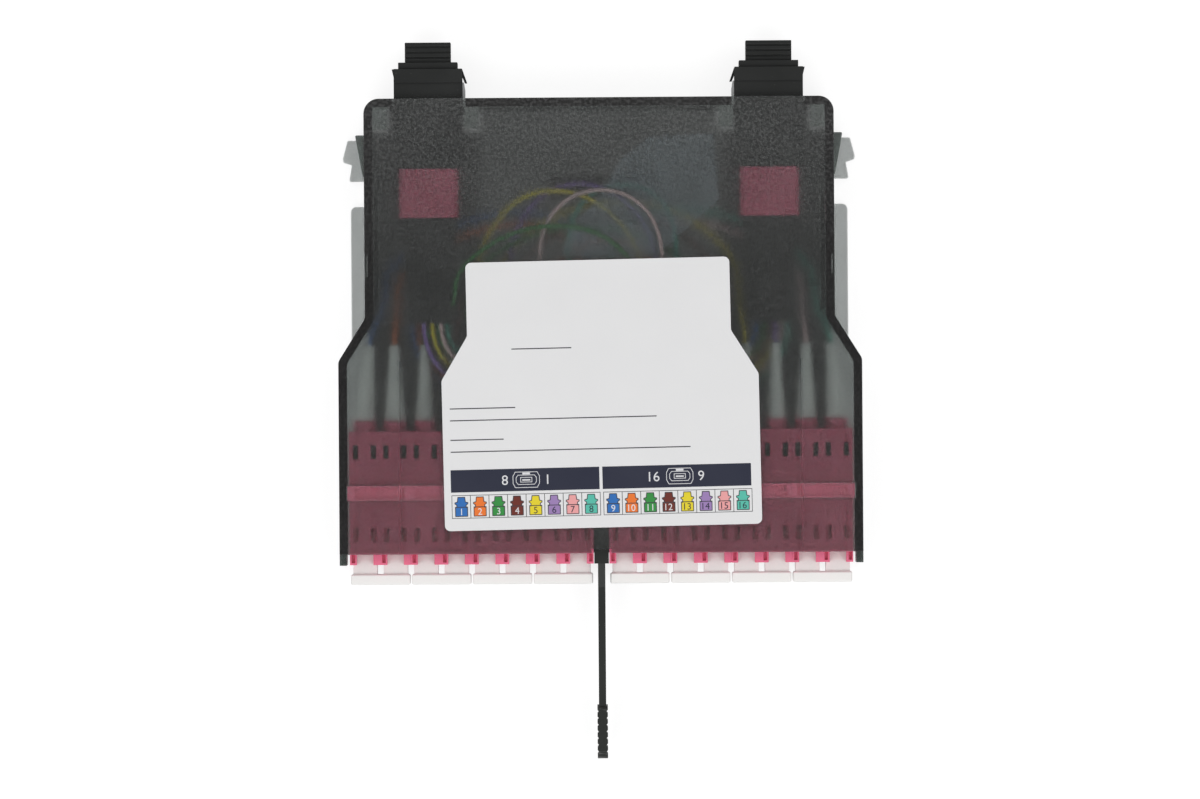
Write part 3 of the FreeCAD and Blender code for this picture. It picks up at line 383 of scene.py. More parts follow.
class Finishes:
    """Every finish on the cassette, by its name."""

    def __init__(self) -> None:
        """Builds the shared groups and the materials."""
        groups = SurfaceGroups()
        moulded = [
            MouldedPlastic("magenta_plastic", (0.79, 0.16, 0.27), 0.38, glow=0.15),
            MouldedPlastic("white_plastic", (0.875, 0.868, 0.85), 0.42, mottle=0.03, glow=0.12),
            MouldedPlastic("boot_plastic", (0.88, 0.89, 0.87), 0.5, mottle=0.04),
            MouldedPlastic("black_plastic", (0.012, 0.013, 0.0125), 0.35, dust=0.03),
            MouldedPlastic("lever_plastic", (0.017, 0.019, 0.017), 0.35),
            # Painted shade: only the dark blocks in the latch windows wear this.
            MouldedPlastic("black_rubber", (0.014, 0.014, 0.014), 0.65, grain=0.5, depth=0.03),
            MouldedPlastic("black_foam", (0.03, 0.03, 0.03), 0.9, grain=0.6, depth=0.15),
            MouldedPlastic("pale_pad", (0.36, 0.38, 0.37), 0.5),
            # Painted reflection: a pale blue-grey, partly see-through sheet standing in for a reflection on
            # the cover.
            MouldedPlastic("clear_film", (0.44, 0.52, 0.60), 0.45, alpha=0.23),
            MouldedPlastic("label_film", (0.785, 0.785, 0.79), 0.36, grain=0.2, depth=0.002, mottle=0.02),
            MouldedPlastic("ink_navy", (0.020, 0.023, 0.045), 0.4, depth=0.001, mottle=0.05),
            MouldedPlastic("ink_grey", (0.045, 0.045, 0.055), 0.4, depth=0.001, mottle=0.05),
            MouldedPlastic("ink_white", (0.74, 0.74, 0.76), 0.4, depth=0.001, mottle=0.02),
        ]
        tints = {p: p.value for p in Port} | {Port.ROSE: (0.87, 0.62, 0.64), Port.VIOLET: (0.32, 0.18, 0.60)}
        for port, tint in tints.items():
            moulded.append(MouldedPlastic(f"fibre_{port.name.lower()}", tint, 0.3, mottle=0.03))
        for port in Port:
            name = f"ink_{port.name.lower()}"
            moulded.append(MouldedPlastic(name, port.value, 0.4, depth=0.001, mottle=0.03))
        smoked = [
            SmokedPlastic("smoked_cover", 0.33, 440.0, grain=0.6, frost=0.74, front_share=0.31, speckle=0.15),
            SmokedPlastic(
                "smoked_plastic",
                0.16,
                260.0,
                speckle=0.1,
                # Painted shade: the base's colour is darkened, less in the middle than further out.
                painted_middle_shade=0.24,
                painted_floor_shade=0.08,
                frost=0.15,
            ),
        ]
        metal = [SpringSteel("spring_steel")]
        self.by_name = {finish.name: finish.build(groups) for finish in moulded + smoked + metal}

    def dress(self, piece: Object, name: str) -> None:
        """Puts one finish all over a piece."""
        piece.data.materials.clear()
        piece.data.materials.append(self.by_name[name])


# ---- Mesh helpers


def add_piece(name: str, data: ID) -> Object:
    """Puts a mesh or curve in the scene at the origin."""
    piece = bpy.data.objects.new(name, data)
    bpy.context.scene.collection.objects.link(piece)
    return piece


def plain_mesh(piece: Object, name: str) -> Mesh:
    """The mesh that an object shows with its modifiers, as a mesh of its own."""
    graph = bpy.context.evaluated_depsgraph_get()
    mesh = bpy.data.meshes.new_from_object(piece.evaluated_get(graph), depsgraph=graph)
    mesh.name = name
    return mesh


def softened(source: Object, name: str, width: float, segments: int = 2) -> Object:
    """A copy of a solid with its sharp edges rounded by a width. The solid is left as it is."""
    work = bmesh.new()
    work.from_mesh(source.data)
    bmesh.ops.remove_doubles(work, verts=work.verts, dist=SAME_PLACE)
    bmesh.ops.dissolve_limit(work, angle_limit=FLAT_ANGLE, verts=work.verts, edges=work.edges)
    mesh = bpy.data.meshes.new(name)
    work.to_mesh(mesh)
    work.free()
    carrier = add_piece(name, mesh)
    rounding = carrier.modifiers.new("rounding", "BEVEL")
    rounding.width = width * MM
    rounding.segments = segments
    rounding.limit_method = "ANGLE"
    rounding.angle_limit = SHARP_ANGLE
    rounding.use_clamp_overlap = True
    rounding.harden_normals = True
    result = plain_mesh(carrier, name)
    carrier.modifiers.remove(rounding)
    carrier.data = result
    return carrier


def flat_loop(corners: list[Pair], z: float, name: str) -> Mesh:
    """A flat face that looks up, from its corners in counterclockwise order."""
    mesh = bpy.data.meshes.new(name)
    mesh.from_pydata([(x * MM, y * MM, z * MM) for x, y in corners], [], [list(range(len(corners)))])
    return mesh


def extruded(profile: list[Pair], middle: float, width: float) -> Mesh:
    """A solid with one outline all along X: (y, z) corners, clockwise seen from +X."""
    count = len(profile)
    points = [(x * MM, y * MM, z * MM) for x in (middle - width / 2, middle + width / 2) for y, z in profile]
    faces = [list(range(count)), list(range(2 * count - 1, count - 1, -1))]
    faces += [(i, count + i, count + (i + 1) % count, (i + 1) % count) for i in range(count)]
    mesh = bpy.data.meshes.new("extruded")
    mesh.from_pydata(points, [], faces)
    return mesh


def joined(name: str, parts: list[Mesh]) -> Mesh:
    """One mesh from several, with their materials left out."""
    work = bmesh.new()
    for part in parts:
        work.from_mesh(part)
    mesh = bpy.data.meshes.new(name)
    work.to_mesh(mesh)
    work.free()
    return mesh


def grow(tree: NodeTree, name: str, values: dict, seed: Mesh) -> Mesh:
    """Runs a geometry tree once on a mesh, and keeps what it makes as a plain mesh."""
    carrier = add_piece(f"{name}_carrier", seed)
    modifier = carrier.modifiers.new(name, "NODES")
    modifier.node_group = tree
    for item in tree.interface.items_tree:
        if item.item_type == "SOCKET" and item.in_out == "INPUT" and item.name in values:
            modifier[item.identifier] = values[item.name]
    mesh = plain_mesh(carrier, name)
    carrier.modifiers.remove(modifier)
    bpy.data.objects.remove(carrier)
    return mesh


def geometry_tree(name: str, **inputs: str) -> tuple[Nodes, NodeOutputs]:
    """An empty geometry tree with inputs of the named kinds: calls for the tree, and its inputs.

    An underscore in an input's name stands for a space. The values come from the modifier.
    """
    tree = bpy.data.node_groups.new(name, "GeometryNodeTree")
    for socket, kind in {"Geometry": "Geometry", **inputs}.items():
        shown = socket.replace("_", " ")
        tree.interface.new_socket(shown, in_out="INPUT", socket_type=f"NodeSocket{kind}")
    tree.interface.new_socket("Geometry", in_out="OUTPUT", socket_type="NodeSocketGeometry")
    n = Nodes(tree)
    return n, n.add("NodeGroupInput").outputs


def set_on_points(n: Nodes, given: NodeOutputs, shape: NodeSocket, smooth: bool = False) -> NodeTree:
    """Ends a geometry tree: a real copy of a shape on each given point, in the given material."""
    copies = n.add("GeometryNodeInstanceOnPoints", {"Points": given["Geometry"], "Instance": shape})
    real = n.add("GeometryNodeRealizeInstances", {0: copies.outputs[0]}).outputs[0]
    if smooth:
        real = n.add("GeometryNodeSetShadeSmooth", {0: real, "Shade Smooth": True}).outputs[0]
    done = n.add("GeometryNodeSetMaterial", {0: real, "Material": given["Material"]}).outputs[0]
    n.add("NodeGroupOutput", {0: done})
    return n.tree


def point_seed(name: str, places: list) -> Mesh:
    """A mesh of loose points, given in metres, to set shapes on."""
    seed = bpy.data.meshes.new(name)
    seed.from_pydata(places, [], [])
    return seed


# ---- Sub-assemblies


@dataclass
class Housing:
    """The smoked base and cover, the moulded adapters and the other solids that keep their own shape."""

    edge: float = 0.12
    cover_edge: float = 0.3
    groove_top: float = 11.15
    groove_roof: float = 11.7
    sink_floor: float = 10.8
    sink_more: float = 0.6
    pad: Triple = (3.0, 4.6, 0.5)
    pad_x: Pair = (26.8, 46.1)
    pad_y: float = 43.9
    pad_top: float = 10.82
    cap_x: float = 35.9
    cap_y: float = 54.25
    cap_z: float = 5.9
    cap_plug: Triple = (9.4, 7.0, 6.4)
    cap_flange: Triple = (12.5, 1.36, 9.0)
    cap_grip: Triple = (9.66, 4.2, 7.2)
    cap_ribs: tuple[float, ...] = (0.95, 2.1, 3.2)
    cap_rib_half: float = 0.22
    cap_rib_depth: float = 0.3

    def build(self, frame: dict, finishes: Finishes) -> None:
        """Dresses each solid that no later piece replaces."""
        for part in frame["record"]["subparts"]:
            node, slot = part["node"], part["material_slot"]
            finish = "smoked_cover" if node == "top_cover" else slot
            finishes.dress(frame["nodes"][node], finish)
        self._soften(frame, finishes, "pull_lever", "lever_plastic")
        self._cover(frame, finishes)
        self._cover_pads(finishes)
        for sign, side in ((-1, "left"), (1, "right")):
            self._soften(frame, finishes, f"mpo_adapter_{side}", "black_plastic")
            self._mpo_cap(finishes, sign, side)
        for number in range(1, 9):
            self._soften(frame, finishes, f"lc_dust_cap_{number}", "white_plastic")
            adapter = self._soften(frame, finishes, f"lc_adapter_{number}", "magenta_plastic")
            for vertex in adapter.data.vertices:
                if abs(vertex.co.z / MM - self.sink_floor) < LEVEL_SLACK:
                    vertex.co.z -= self.sink_more * MM
        LOG.info("housing and adapters dressed")

    def _soften(self, frame: dict, finishes: Finishes, node: str, finish: str) -> Object:
        """Replaces a solid by a copy with rounded edges."""
        source = frame["nodes"][node]
        piece = softened(source, f"{node}_moulded", self.edge)
        finishes.dress(piece, finish)
        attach(piece, source["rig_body"])
        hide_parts(node)
        return piece

    def _cover(self, frame: dict, finishes: Finishes) -> None:
        """The cover with rounded edges, thin over the adapters' flange."""
        piece = softened(frame["nodes"]["top_cover"], "cover_moulded", self.cover_edge, 3)
        for vertex in piece.data.vertices:
            if abs(vertex.co.z / MM - self.groove_top) < 0.5 * self.cover_edge:
                vertex.co.z += (self.groove_roof - self.groove_top) * MM
        finishes.dress(piece, "smoked_cover")
        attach(piece, "housing")
        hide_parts("top_cover")

    def _cover_pads(self, finishes: Finishes) -> None:
        """Four small pads under the cover beside the MPO adapters, a guess at the photo's pale squares."""
        width, length, height = self.pad
        low, high = self.pad_top - height, self.pad_top
        rear = self.pad_y + length / 2
        loop = [(rear - length, high), (rear, high), (rear, low), (rear - length, low)]
        parts = [extruded(loop, sign * x, width) for x in self.pad_x for sign in (-1, 1)]
        piece = add_piece("cover_pads", joined("cover_pads", parts))
        finishes.dress(piece, "pale_pad")
        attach(piece, "housing")

    def _mpo_cap(self, finishes: Finishes, sign: int, side: str) -> None:
        """An MPO dust cap: a plug, a flange and a grip with ribs across its top and its underside."""
        width, length, height = self.cap_grip
        base = self.cap_y + self.cap_flange[1]
        top = [(base, height / 2)]
        for rib in self.cap_ribs:
            top.append((base + rib - self.cap_rib_half, height / 2))
            top.append((base + rib, height / 2 - self.cap_rib_depth))
            top.append((base + rib + self.cap_rib_half, height / 2))
        top.append((base + length, height / 2))
        profile = [(y, self.cap_z + z) for y, z in top] + [(y, self.cap_z - z) for y, z in reversed(top)]
        parts = [extruded(profile, sign * self.cap_x, width)]
        for size, start in ((self.cap_flange, self.cap_y), (self.cap_plug, self.cap_y - self.cap_plug[1])):
            across, along, tall = size
            low, high = self.cap_z - tall / 2, self.cap_z + tall / 2
            loop = [(start, high), (start + along, high), (start + along, low), (start, low)]
            parts.append(extruded(loop, sign * self.cap_x, across))
        rough = add_piece("cap_rough", joined("cap_rough", parts))
        piece = softened(rough, f"mpo_cap_{side}_ribbed", self.edge)
        bpy.data.objects.remove(rough)
        finishes.dress(piece, "black_plastic")
        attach(piece, f"mpo_cap_{side}")
        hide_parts(f"mpo_dust_cap_{side}")


@dataclass
class LatchShadeBlocks:
    """Painted shade: dark blocks in the latch windows in the LC adapters' roofs, standing in for the shade
    inside them.
    """

    offset: float = 1.9
    rows: tuple[float, ...] = (-26.4,)
    size: Triple = (1.06, 2.86, 0.3)
    level: float = 9.6

    def build(self, finishes: Finishes) -> None:
        """Makes one small dark block, as painted shade, under each window in the listed rows."""
        ports = port_places(-1) + port_places(1)
        middles = [x + side * self.offset for x in ports for side in (-1, 1)]
        places = [Vector((x, y, self.level)) * MM for x in middles for y in self.rows]
        values = {"Size": [length * MM for length in self.size], "Material": finishes.by_name["black_rubber"]}
        seed = point_seed("well_places", places)
        piece = add_piece("latch_wells", grow(self._tree(), "latch_wells", values, seed))
        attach(piece, "housing")
        LOG.info("latch wells set")

    @staticmethod
    def _tree() -> NodeTree:
        """A block on each point of the input."""
        n, given = geometry_tree("latch wells", Size="Vector", Material="Material")
        block = n.add("GeometryNodeMeshCube", {"Size": given["Size"]}).outputs[0]
        return set_on_points(n, given, block)


@dataclass
class StrainBoots:
    """The white ribbed boots behind the LC connectors."""

    root_y: float = -19.8
    length: float = 15.8
    wide: float = 2.25
    thin: float = 1.0
    ribs: int = 9
    rib_depth: float = 0.09
    # The shares of the length where the ribs begin and end.
    ribbed: Pair = (0.10, 0.92)
    taper_power: float = 0.85
    rings: int = 73
    sides: int = 24

    def build(self, finishes: Finishes) -> None:
        """Makes both rows of boots."""
        tree = self._tree()
        for side, name in ((-1, "left"), (1, "right")):
            seed = point_seed("boot_roots", [Vector((x, self.root_y, AXIS)) * MM for x in port_places(side)])
            values = {
                "Length": self.length * MM,
                "Wide Radius": self.wide * MM,
                "Thin Radius": self.thin * MM,
                "Ribs": self.ribs,
                "Rib Depth": self.rib_depth * MM,
                "Material": finishes.by_name["boot_plastic"],
            }
            mesh = grow(tree, f"strain_boots_{name}", values, seed)
            outer = (abs(port_places(side)[-1]) - PORT_PITCH / 2) * MM
            for vertex in mesh.vertices:
                if abs(vertex.co.x) > outer:
                    share = (vertex.co.y / MM - self.root_y) / self.length
                    vertex.co.x -= side * LEAN * MM * share
            piece = add_piece(f"strain_boots_{name}", mesh)
            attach(piece, "housing")
            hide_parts(f"lc_boots_{name}")
            LOG.info("%s", piece.name)

    def _tree(self) -> NodeTree:
        """One tapered, ribbed boot on each point of the input."""
        body = {"Length": "Float", "Wide_Radius": "Float", "Thin_Radius": "Float"}
        n, given = geometry_tree("ribbed boots", **body, Ribs="Int", Rib_Depth="Float", Material="Material")
        end = n.add("ShaderNodeCombineXYZ", {"Y": given["Length"]}).outputs[0]
        line = n.add("GeometryNodeCurvePrimitiveLine", {"End": end}).outputs[0]
        rings = n.add("GeometryNodeResampleCurve", {"Curve": line, "Count": self.rings}).outputs[0]
        along = n.add("GeometryNodeSplineParameter").outputs["Factor"]
        bow = n.math("POWER", along, self.taper_power)
        taper = n.add("ShaderNodeMix", {0: bow, 2: given["Wide Radius"], 3: given["Thin Radius"]}).outputs[0]
        turns = n.math("MULTIPLY", n.math("MULTIPLY", along, given["Ribs"]), 2 * math.pi)
        wave = n.math("MULTIPLY_ADD", n.math("COSINE", turns), 0.5, -0.5)
        first, last = self.ribbed
        region = n.math("MULTIPLY", n.math("GREATER_THAN", along, first), n.math("LESS_THAN", along, last))
        dip = n.math("MULTIPLY", n.math("MULTIPLY", wave, region), given["Rib Depth"])
        radius = n.math("ADD", taper, dip)
        shaped = n.add("GeometryNodeSetCurveRadius", {"Curve": rings, "Radius": radius}).outputs[0]
        ring = n.add("GeometryNodeCurvePrimitiveCircle", {"Resolution": self.sides, "Radius": 1.0}).outputs[0]
        swept = {"Curve": shaped, "Profile Curve": ring, "Fill Caps": True}
        swept["Scale"] = n.add("GeometryNodeInputRadius").outputs[0]
        tube = n.add("GeometryNodeCurveToMesh", swept).outputs[0]
        return set_on_points(n, given, tube, smooth=True)


@dataclass(frozen=True)
class Loop:
    """One fibre's loop, as for the left half: where it leaves the MPO boot, its levels and its extent."""

    port: int
    start: float
    leave: float
    low: float
    high: float
    crown: float
    left: float
    right: float
    rear: float
    waist: float
    front: float
    left_level: float | None = None


@dataclass
class FibreSet:
    """The sixteen coloured fibres. Those of ports 3 to 10 lie on other routes than in the solids."""

    radius: float = 0.45
    curve_steps: int = 8
    round_steps: int = 3
    mpo_x: float = 35.9
    mpo_end: float = 0.6
    boot_end: float = -4.0
    lead: float = 2.4
    turn_share: float = 0.55
    tail_share: float = 0.4
    corners: int = 6
    direct: tuple[int, ...] = (14,)
    loops: tuple[Loop, ...] = (
        Loop(1, -3.6, 2.9, 1.75, 1.75, -12.0, -45.2, -1.2, 24.0, 6.0, -14.4),
        Loop(2, -2.4, 2.9, 1.75, 1.75, -13.0, -42.6, -2.6, 21.4, 5.0, -13.2),
        Loop(3, 1.8, 7.7, 8.2, 10.1, -8.0, -30.4, 8.6, 21.0, 6.0, -8.8),
        Loop(4, 0.0, 4.1, 4.6, 4.2, -10.0, -29.3, 2.0, 12.5, 4.0, -7.6, 5.7),
        Loop(5, 0.6, 8.9, 6.4, 9.0, -10.6, -25.5, 9.0, 28.4, 9.0, -11.2, 3.0),
        Loop(6, -1.2, 8.9, 8.25, 8.0, -5.0, -18.8, 12.0, 29.8, 12.0, -13.0, 3.4),
        Loop(7, 2.4, 8.9, 10.1, 10.1, 0.3, -12.6, 13.2, 28.5, 15.6, -9.4, 8.6),
        Loop(8, 3.6, 7.7, 7.3, 6.7, 5.2, -6.6, 16.2, 29.6, 18.0, -7.2),
        Loop(16, -3.6, 2.9, 1.75, 1.75, -12.0, -45.2, -1.2, 24.6, 6.0, -14.4),
        Loop(15, -2.4, 2.9, 1.75, 1.75, -13.0, -42.6, -2.6, 21.8, 5.0, -13.2),
        Loop(13, -1.2, 2.9, 2.7, 2.7, -5.0, -29.3, 22.0, 26.0, 6.0, -11.8),
        Loop(12, 0.0, 2.9, 2.7, 2.7, -4.0, -25.0, 18.0, 23.0, 6.0, -10.6),
        Loop(11, 1.2, 4.1, 3.6, 4.6, 3.3, -21.7, 28.3, 20.7, 4.0, -8.6),
        Loop(10, 1.2, 2.9, 2.7, 3.58, -4.0, -12.4, 12.0, 18.0, 6.0, -9.4),
        Loop(9, 3.0, 4.1, 3.6, 5.4, 2.0, -6.0, 16.6, 12.0, 4.0, -7.2),
    )

    def build(self, finishes: Finishes) -> None:
        """Makes one piece for each colour, with that colour's two fibres."""
        routes = {loop.port: self._loop_route(loop) for loop in self.loops}
        for port in self.direct:
            x = self._port_x(port)
            middle = (self.mpo_end + self.boot_end) / 2
            routes[port] = [Vector((x, y, AXIS)) for y in (self.mpo_end, middle, self.boot_end)]
        for i, colour in enumerate(Port):
            name = f"fibres_{colour.name.lower()}"
            curve = bpy.data.curves.new(f"{name}_tubes", "CURVE")
            curve.dimensions = "3D"
            curve.resolution_u = self.curve_steps
            curve.bevel_depth = self.radius * MM
            curve.bevel_resolution = self.round_steps
            for port in (i + 1, i + 1 + PORTS_A_SIDE):
                spline = curve.splines.new("NURBS")
                spline.points.add(len(routes[port]) - 1)
                for point, place in zip(spline.points, routes[port]):
                    point.co = (*(place * MM), 1.0)
                spline.order_u = 3
                spline.use_endpoint_u = True
            piece = add_piece(f"{name}_tubes", curve)
            finishes.dress(piece, f"fibre_{colour.name.lower()}")
            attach(piece, "housing")
            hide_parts(name)
        LOG.info("fibres laid")

    @staticmethod
    def _port_x(port: int) -> float:
        """The x of a port's axis. Ports count from left to right, from 1."""
        return sorted(port_places(-1) + port_places(1))[port - 1]

    def _loop_route(self, loop: Loop) -> list[Vector]:
        """The corner points of a looped fibre: a lead, most of an eight-sided ring and a tail."""
        x = -self.mpo_x + loop.start
        first = (self.mpo_end - loop.front) * self.turn_share
        points = [
            Vector((x, self.mpo_end, loop.leave)),
            Vector((x, loop.front + first, loop.leave)),
            Vector((x + first, loop.front, loop.low)),
        ]
        step = math.pi / 4
        for i in range(self.corners):
            angle = -math.pi / 2 + (i + 0.5) * step
            across = math.cos(angle) / math.cos(step / 2)
            along = math.sin(angle) / math.cos(step / 2)
            side = loop.right - loop.crown if across > 0 else loop.crown - loop.left
            depth = loop.rear - loop.waist if along > 0 else loop.waist - loop.front
            z = loop.low if along < 0 else loop.high
            to_end = self.corners - 1 - i
            if loop.left_level is not None and to_end < 2:
                z = (loop.left_level + loop.high) / 2 if to_end else loop.left_level
            points.append(Vector((loop.crown + side * across, loop.waist + depth * along, z)))
        end = -abs(self._port_x(loop.port)) + (LEAN if loop.port in (1, 16) else 0)
        straight = self.boot_end + self.lead
        tail = (points[-1].y - straight) * self.tail_share
        points.append(Vector((loop.left, straight + tail, (points[-1].z * 2 + AXIS) / 3)))
        points.append(Vector((end, straight, AXIS)))
        points.append(Vector((end, self.boot_end, AXIS)))
        if loop.port > PORTS_A_SIDE:
            return [Vector((-p.x, p.y, p.z)) for p in points]
        return points


@dataclass
class PaintedReflectionSheet:
    """Painted reflection, a guess: a pale see-through sheet among the fibres, standing in for a paler slanted
    area that a reflection on the cover makes.
    """

    level: float = 9.5
    thickness: float = 0.05
    outline: tuple[Pair, ...] = (
        (-8.0, 14.5),
        (12.0, 14.5),
        (16.0, 18.2),
        (25.2, 26.2),
        (24.2, 40.2),
        (10.4, 39.6),
        (4.4, 34.6),
        (-0.4, 26.6),
        (-5.8, 20.6),
    )

    def build(self, finishes: Finishes) -> None:
        """Makes the painted reflection as a thin sheet below its level."""
        low = flat_loop(list(self.outline), self.level, "film")
        piece = add_piece("retaining_film", low)
        thick = piece.modifiers.new("thickness", "SOLIDIFY")
        thick.thickness = self.thickness * MM
        piece.data = plain_mesh(piece, "retaining_film")
        piece.modifiers.remove(thick)
        finishes.dress(piece, "clear_film")
        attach(piece, "housing")


@dataclass
class PrintedLabel:
    """The white film on the cover with its port chart. Its own axes start at its front left corner."""

    left: float = -33.4
    front: float = -42.6
    rear: float = 13.8
    turn: float = 1.0
    surface: float = 12.11
    ink: float = 12.125
    band_left: float = 1.45
    band_low: float = 8.1
    band_size: Pair = (31.3, 4.72)
    band_step: float = 31.95
    cell_left: float = 1.6
    cell_low: float = 2.65
    cell_size: Pair = (3.905, 4.8)
    numeral: float = 2.05
    small_numeral: float = 1.4
    line: float = 0.13
    # The step from one layer of print to the next.
    layer: float = 0.004
    # A font's size for a digit's height.
    digit_scale: float = 1.42
    band_numbers: tuple[tuple[str, str], ...] = (("8", "1"), ("16", "9"))
    plug_share: Pair = (0.508, 0.52)
    first_reach: Pair = (4.5, 5.4)
    last_reach: float = 4.5
    # Half width, half height and how far the sides stand out.
    plug_rings: tuple[Triple, ...] = ((2.35, 1.7, 0.5), (1.75, 1.05, 0.45), (1.25, 0.55, 0.0))
    plug_side: float = 0.45
    # Left, low, width and height.
    plug_bars: tuple[tuple[float, ...], ...] = ((-0.85, -0.2, 1.7, 0.3), (-0.8, 1.1, 1.6, 0.42))
    icon_line: float = 0.17
    icon_bar: Triple = (0.62, 2.25, 2.72)
    icon_number: Pair = (1.97, 1.36)
    icon_width: float = 3.96
    # The first colours take light numbers, and the others dark ones.
    light_numbers: int = 4
    frame_line: float = 0.12
    rule_line: float = 0.22
    # Left, low and width.
    rules: tuple[Triple, ...] = (
        (14.9, 37.9, 12.6),
        (1.6, 25.6, 13.8),
        (1.6, 23.1, 43.5),
        (1.6, 19.0, 11.2),
        (1.6, 16.5, 50.5),
    )

    def build(self, frame: dict, finishes: Finishes) -> None:
        """Makes the film and everything printed on it."""
        node = frame["nodes"]["label"]
        film = softened(node, "label_sheet", 0.02, 1)
        top = max(v.co.z for v in film.data.vertices)
        for vertex in film.data.vertices:
            if vertex.co.z > top - LEVEL_SLACK * MM:
                vertex.co.z -= top - self.surface * MM
        finishes.dress(film, "label_film")
        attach(film, "housing")
        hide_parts("label")
        self._bands(finishes)
        self._cells(finishes)
        self._rules(finishes)
        LOG.info("label printed")

    def _place(self, mesh: Mesh, name: str, finish: str, finishes: Finishes) -> None:
        """Turns a print from the label's own axes to the cover's and adds it as a piece."""
        middle = Vector((0, (self.rear + self.front) / 2, 0)) * MM
        corner = Matrix.Translation(Vector((self.left, self.front, 0)) * MM)
        turned = Matrix.Translation(middle) @ Matrix.Rotation(math.radians(self.turn), 4, "Z")
        mesh.transform(turned @ Matrix.Translation(-middle) @ corner)
        piece = add_piece(name, mesh)
        finishes.dress(piece, finish)
        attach(piece, "housing")

    def _box(self, x: float, y: float, width: float, height: float, z: float) -> Mesh:
        """A plain printed rectangle, on the label's own axes."""
        corners = [(x, y), (x + width, y), (x + width, y + height), (x, y + height)]
        return flat_loop(corners, z, "print")

    def _numeral(self, text: str, x: float, y: float, size: float, z: float) -> Mesh:
        """A number as a flat mesh centred on (x, y), on the label's own axes."""
        curve = bpy.data.curves.new("numeral", "FONT")
        curve.body = text
        curve.align_x = "CENTER"
        curve.align_y = "CENTER"
        curve.size = size * MM * self.digit_scale
        carrier = add_piece("numeral_carrier", curve)
        mesh = plain_mesh(carrier, "numeral")
        bpy.data.objects.remove(carrier)
        xs = [v.co.x for v in mesh.vertices]
        ys = [v.co.y for v in mesh.vertices]
        middle = Vector(((min(xs) + max(xs)) / 2, (min(ys) + max(ys)) / 2, 0))
        mesh.transform(Matrix.Translation(Vector((x, y, z)) * MM - middle))
        return mesh

    def _bands(self, finishes: Finishes) -> None:
        """The two dark bands, each with its fibre numbers and a plug seen from its end."""
        width, height = self.band_size
        z = self.ink + 2 * self.layer
        centre_y = self.band_low + height / 2
        bands = []
        marks = []
        for i, (first, last) in enumerate(self.band_numbers):
            x = self.band_left + i * self.band_step
            bands.append(self._box(x, self.band_low, width, height, self.ink))
            centre_x = x + width * self.plug_share[i]
            marks.append(self._numeral(first, centre_x - self.first_reach[i], centre_y, self.numeral, z))
            marks.append(self._numeral(last, centre_x + self.last_reach, centre_y, self.numeral, z))
            marks += self._plug_face(centre_x, centre_y, z)
        self._place(joined("bands", bands), "label_bands", "ink_navy", finishes)
        self._place(joined("band_marks", marks), "label_band_marks", "ink_white", finishes)

    def _plug_face(self, x: float, y: float, z: float) -> list[Mesh]:
        """Line drawing of a multi-fibre plug's end: three outlines, one in the other, and two bars."""
        parts = []
        for half_w, half_h, bulge in self.plug_rings:
            side = half_h * self.plug_side
            quarter = [(half_w + bulge, side), (half_w, half_h)]
            upper = quarter + [(-a, b) for a, b in reversed(quarter)]
            outline = [(-a, -b) for a, b in upper] + upper
            # The lower left corner comes first.
            outline = outline[1:] + outline[:1]
            parts.append(ring_mesh([(x + a, y + b) for a, b in outline], self.line, z))
        for left, low, width, height in self.plug_bars:
            parts.append(self._box(x + left, y + low, width, height, z))
        return parts

    def _cells(self, finishes: Finishes) -> None:
        """The two rows of port cells, each with its frame, plug shape, outline and number."""
        width, height = self.cell_size
        seeds = []
        outlines = []
        dark = []
        light = []
        fills: dict[Port, list[Mesh]] = {colour: [] for colour in Port}
        bar_x, bar_y, bar_width = self.icon_bar
        number_x, number_y = self.icon_number
        y = self.cell_low
        for cell in range(2 * PORTS_A_SIDE):
            half, place = divmod(cell, PORTS_A_SIDE)
            x = self.cell_left + half * self.band_step + place * width
            seeds.append((x * MM, y * MM, (self.ink - self.layer) * MM))
            shape = [(x + a, y + b) for a, b in self._icon()]
            fills[list(Port)[place]].append(flat_loop(shape, self.ink, "icon"))
            outlines.append(ring_mesh(shape, self.icon_line, self.ink + self.layer))
            level = self.ink + 1.5 * self.layer
            outlines.append(self._box(x + bar_x, y + bar_y, bar_width, self.icon_line, level))
            level = self.ink + 2 * self.layer
            digits = self._numeral(str(cell + 1), x + number_x, y + number_y, self.small_numeral, level)
            (light if place < self.light_numbers else dark).append(digits)
        seed = point_seed("cell_corners", seeds)
        values = {"Width": width * MM, "Height": height * MM, "Line": self.frame_line * MM}
        values["Material"] = finishes.by_name["ink_grey"]
        frames = grow(self._frame_tree(), "label_cell_frames", values, seed)
        self._place(frames, "label_cell_frames", "ink_grey", finishes)
        for colour, meshes in fills.items():
            name = colour.name.lower()
            self._place(joined(name, meshes), f"label_icons_{name}", f"ink_{name}", finishes)
        self._place(joined("outlines", outlines), "label_icon_outlines", "ink_grey", finishes)
        self._place(joined("dark", dark), "label_numbers_dark", "ink_navy", finishes)
        self._place(joined("light", light), "label_numbers_light", "ink_white", finishes)

    def _icon(self) -> list[Pair]:
        """The outline of a plug seen from above, counterclockwise from the cell's lower left corner."""
        body = [(0.62, 0.42), (0.72, 0.32), (3.24, 0.32), (3.34, 0.42), (3.34, 2.35)]
        right = [(3.05, 2.35), (3.05, 2.75), (3.42, 3.0), (3.42, 3.35), (2.9, 3.5), (2.78, 4.5)]
        left = [(self.icon_width - x, y) for x, y in reversed(right)]
        return body + right + left + [(0.62, 2.35)]

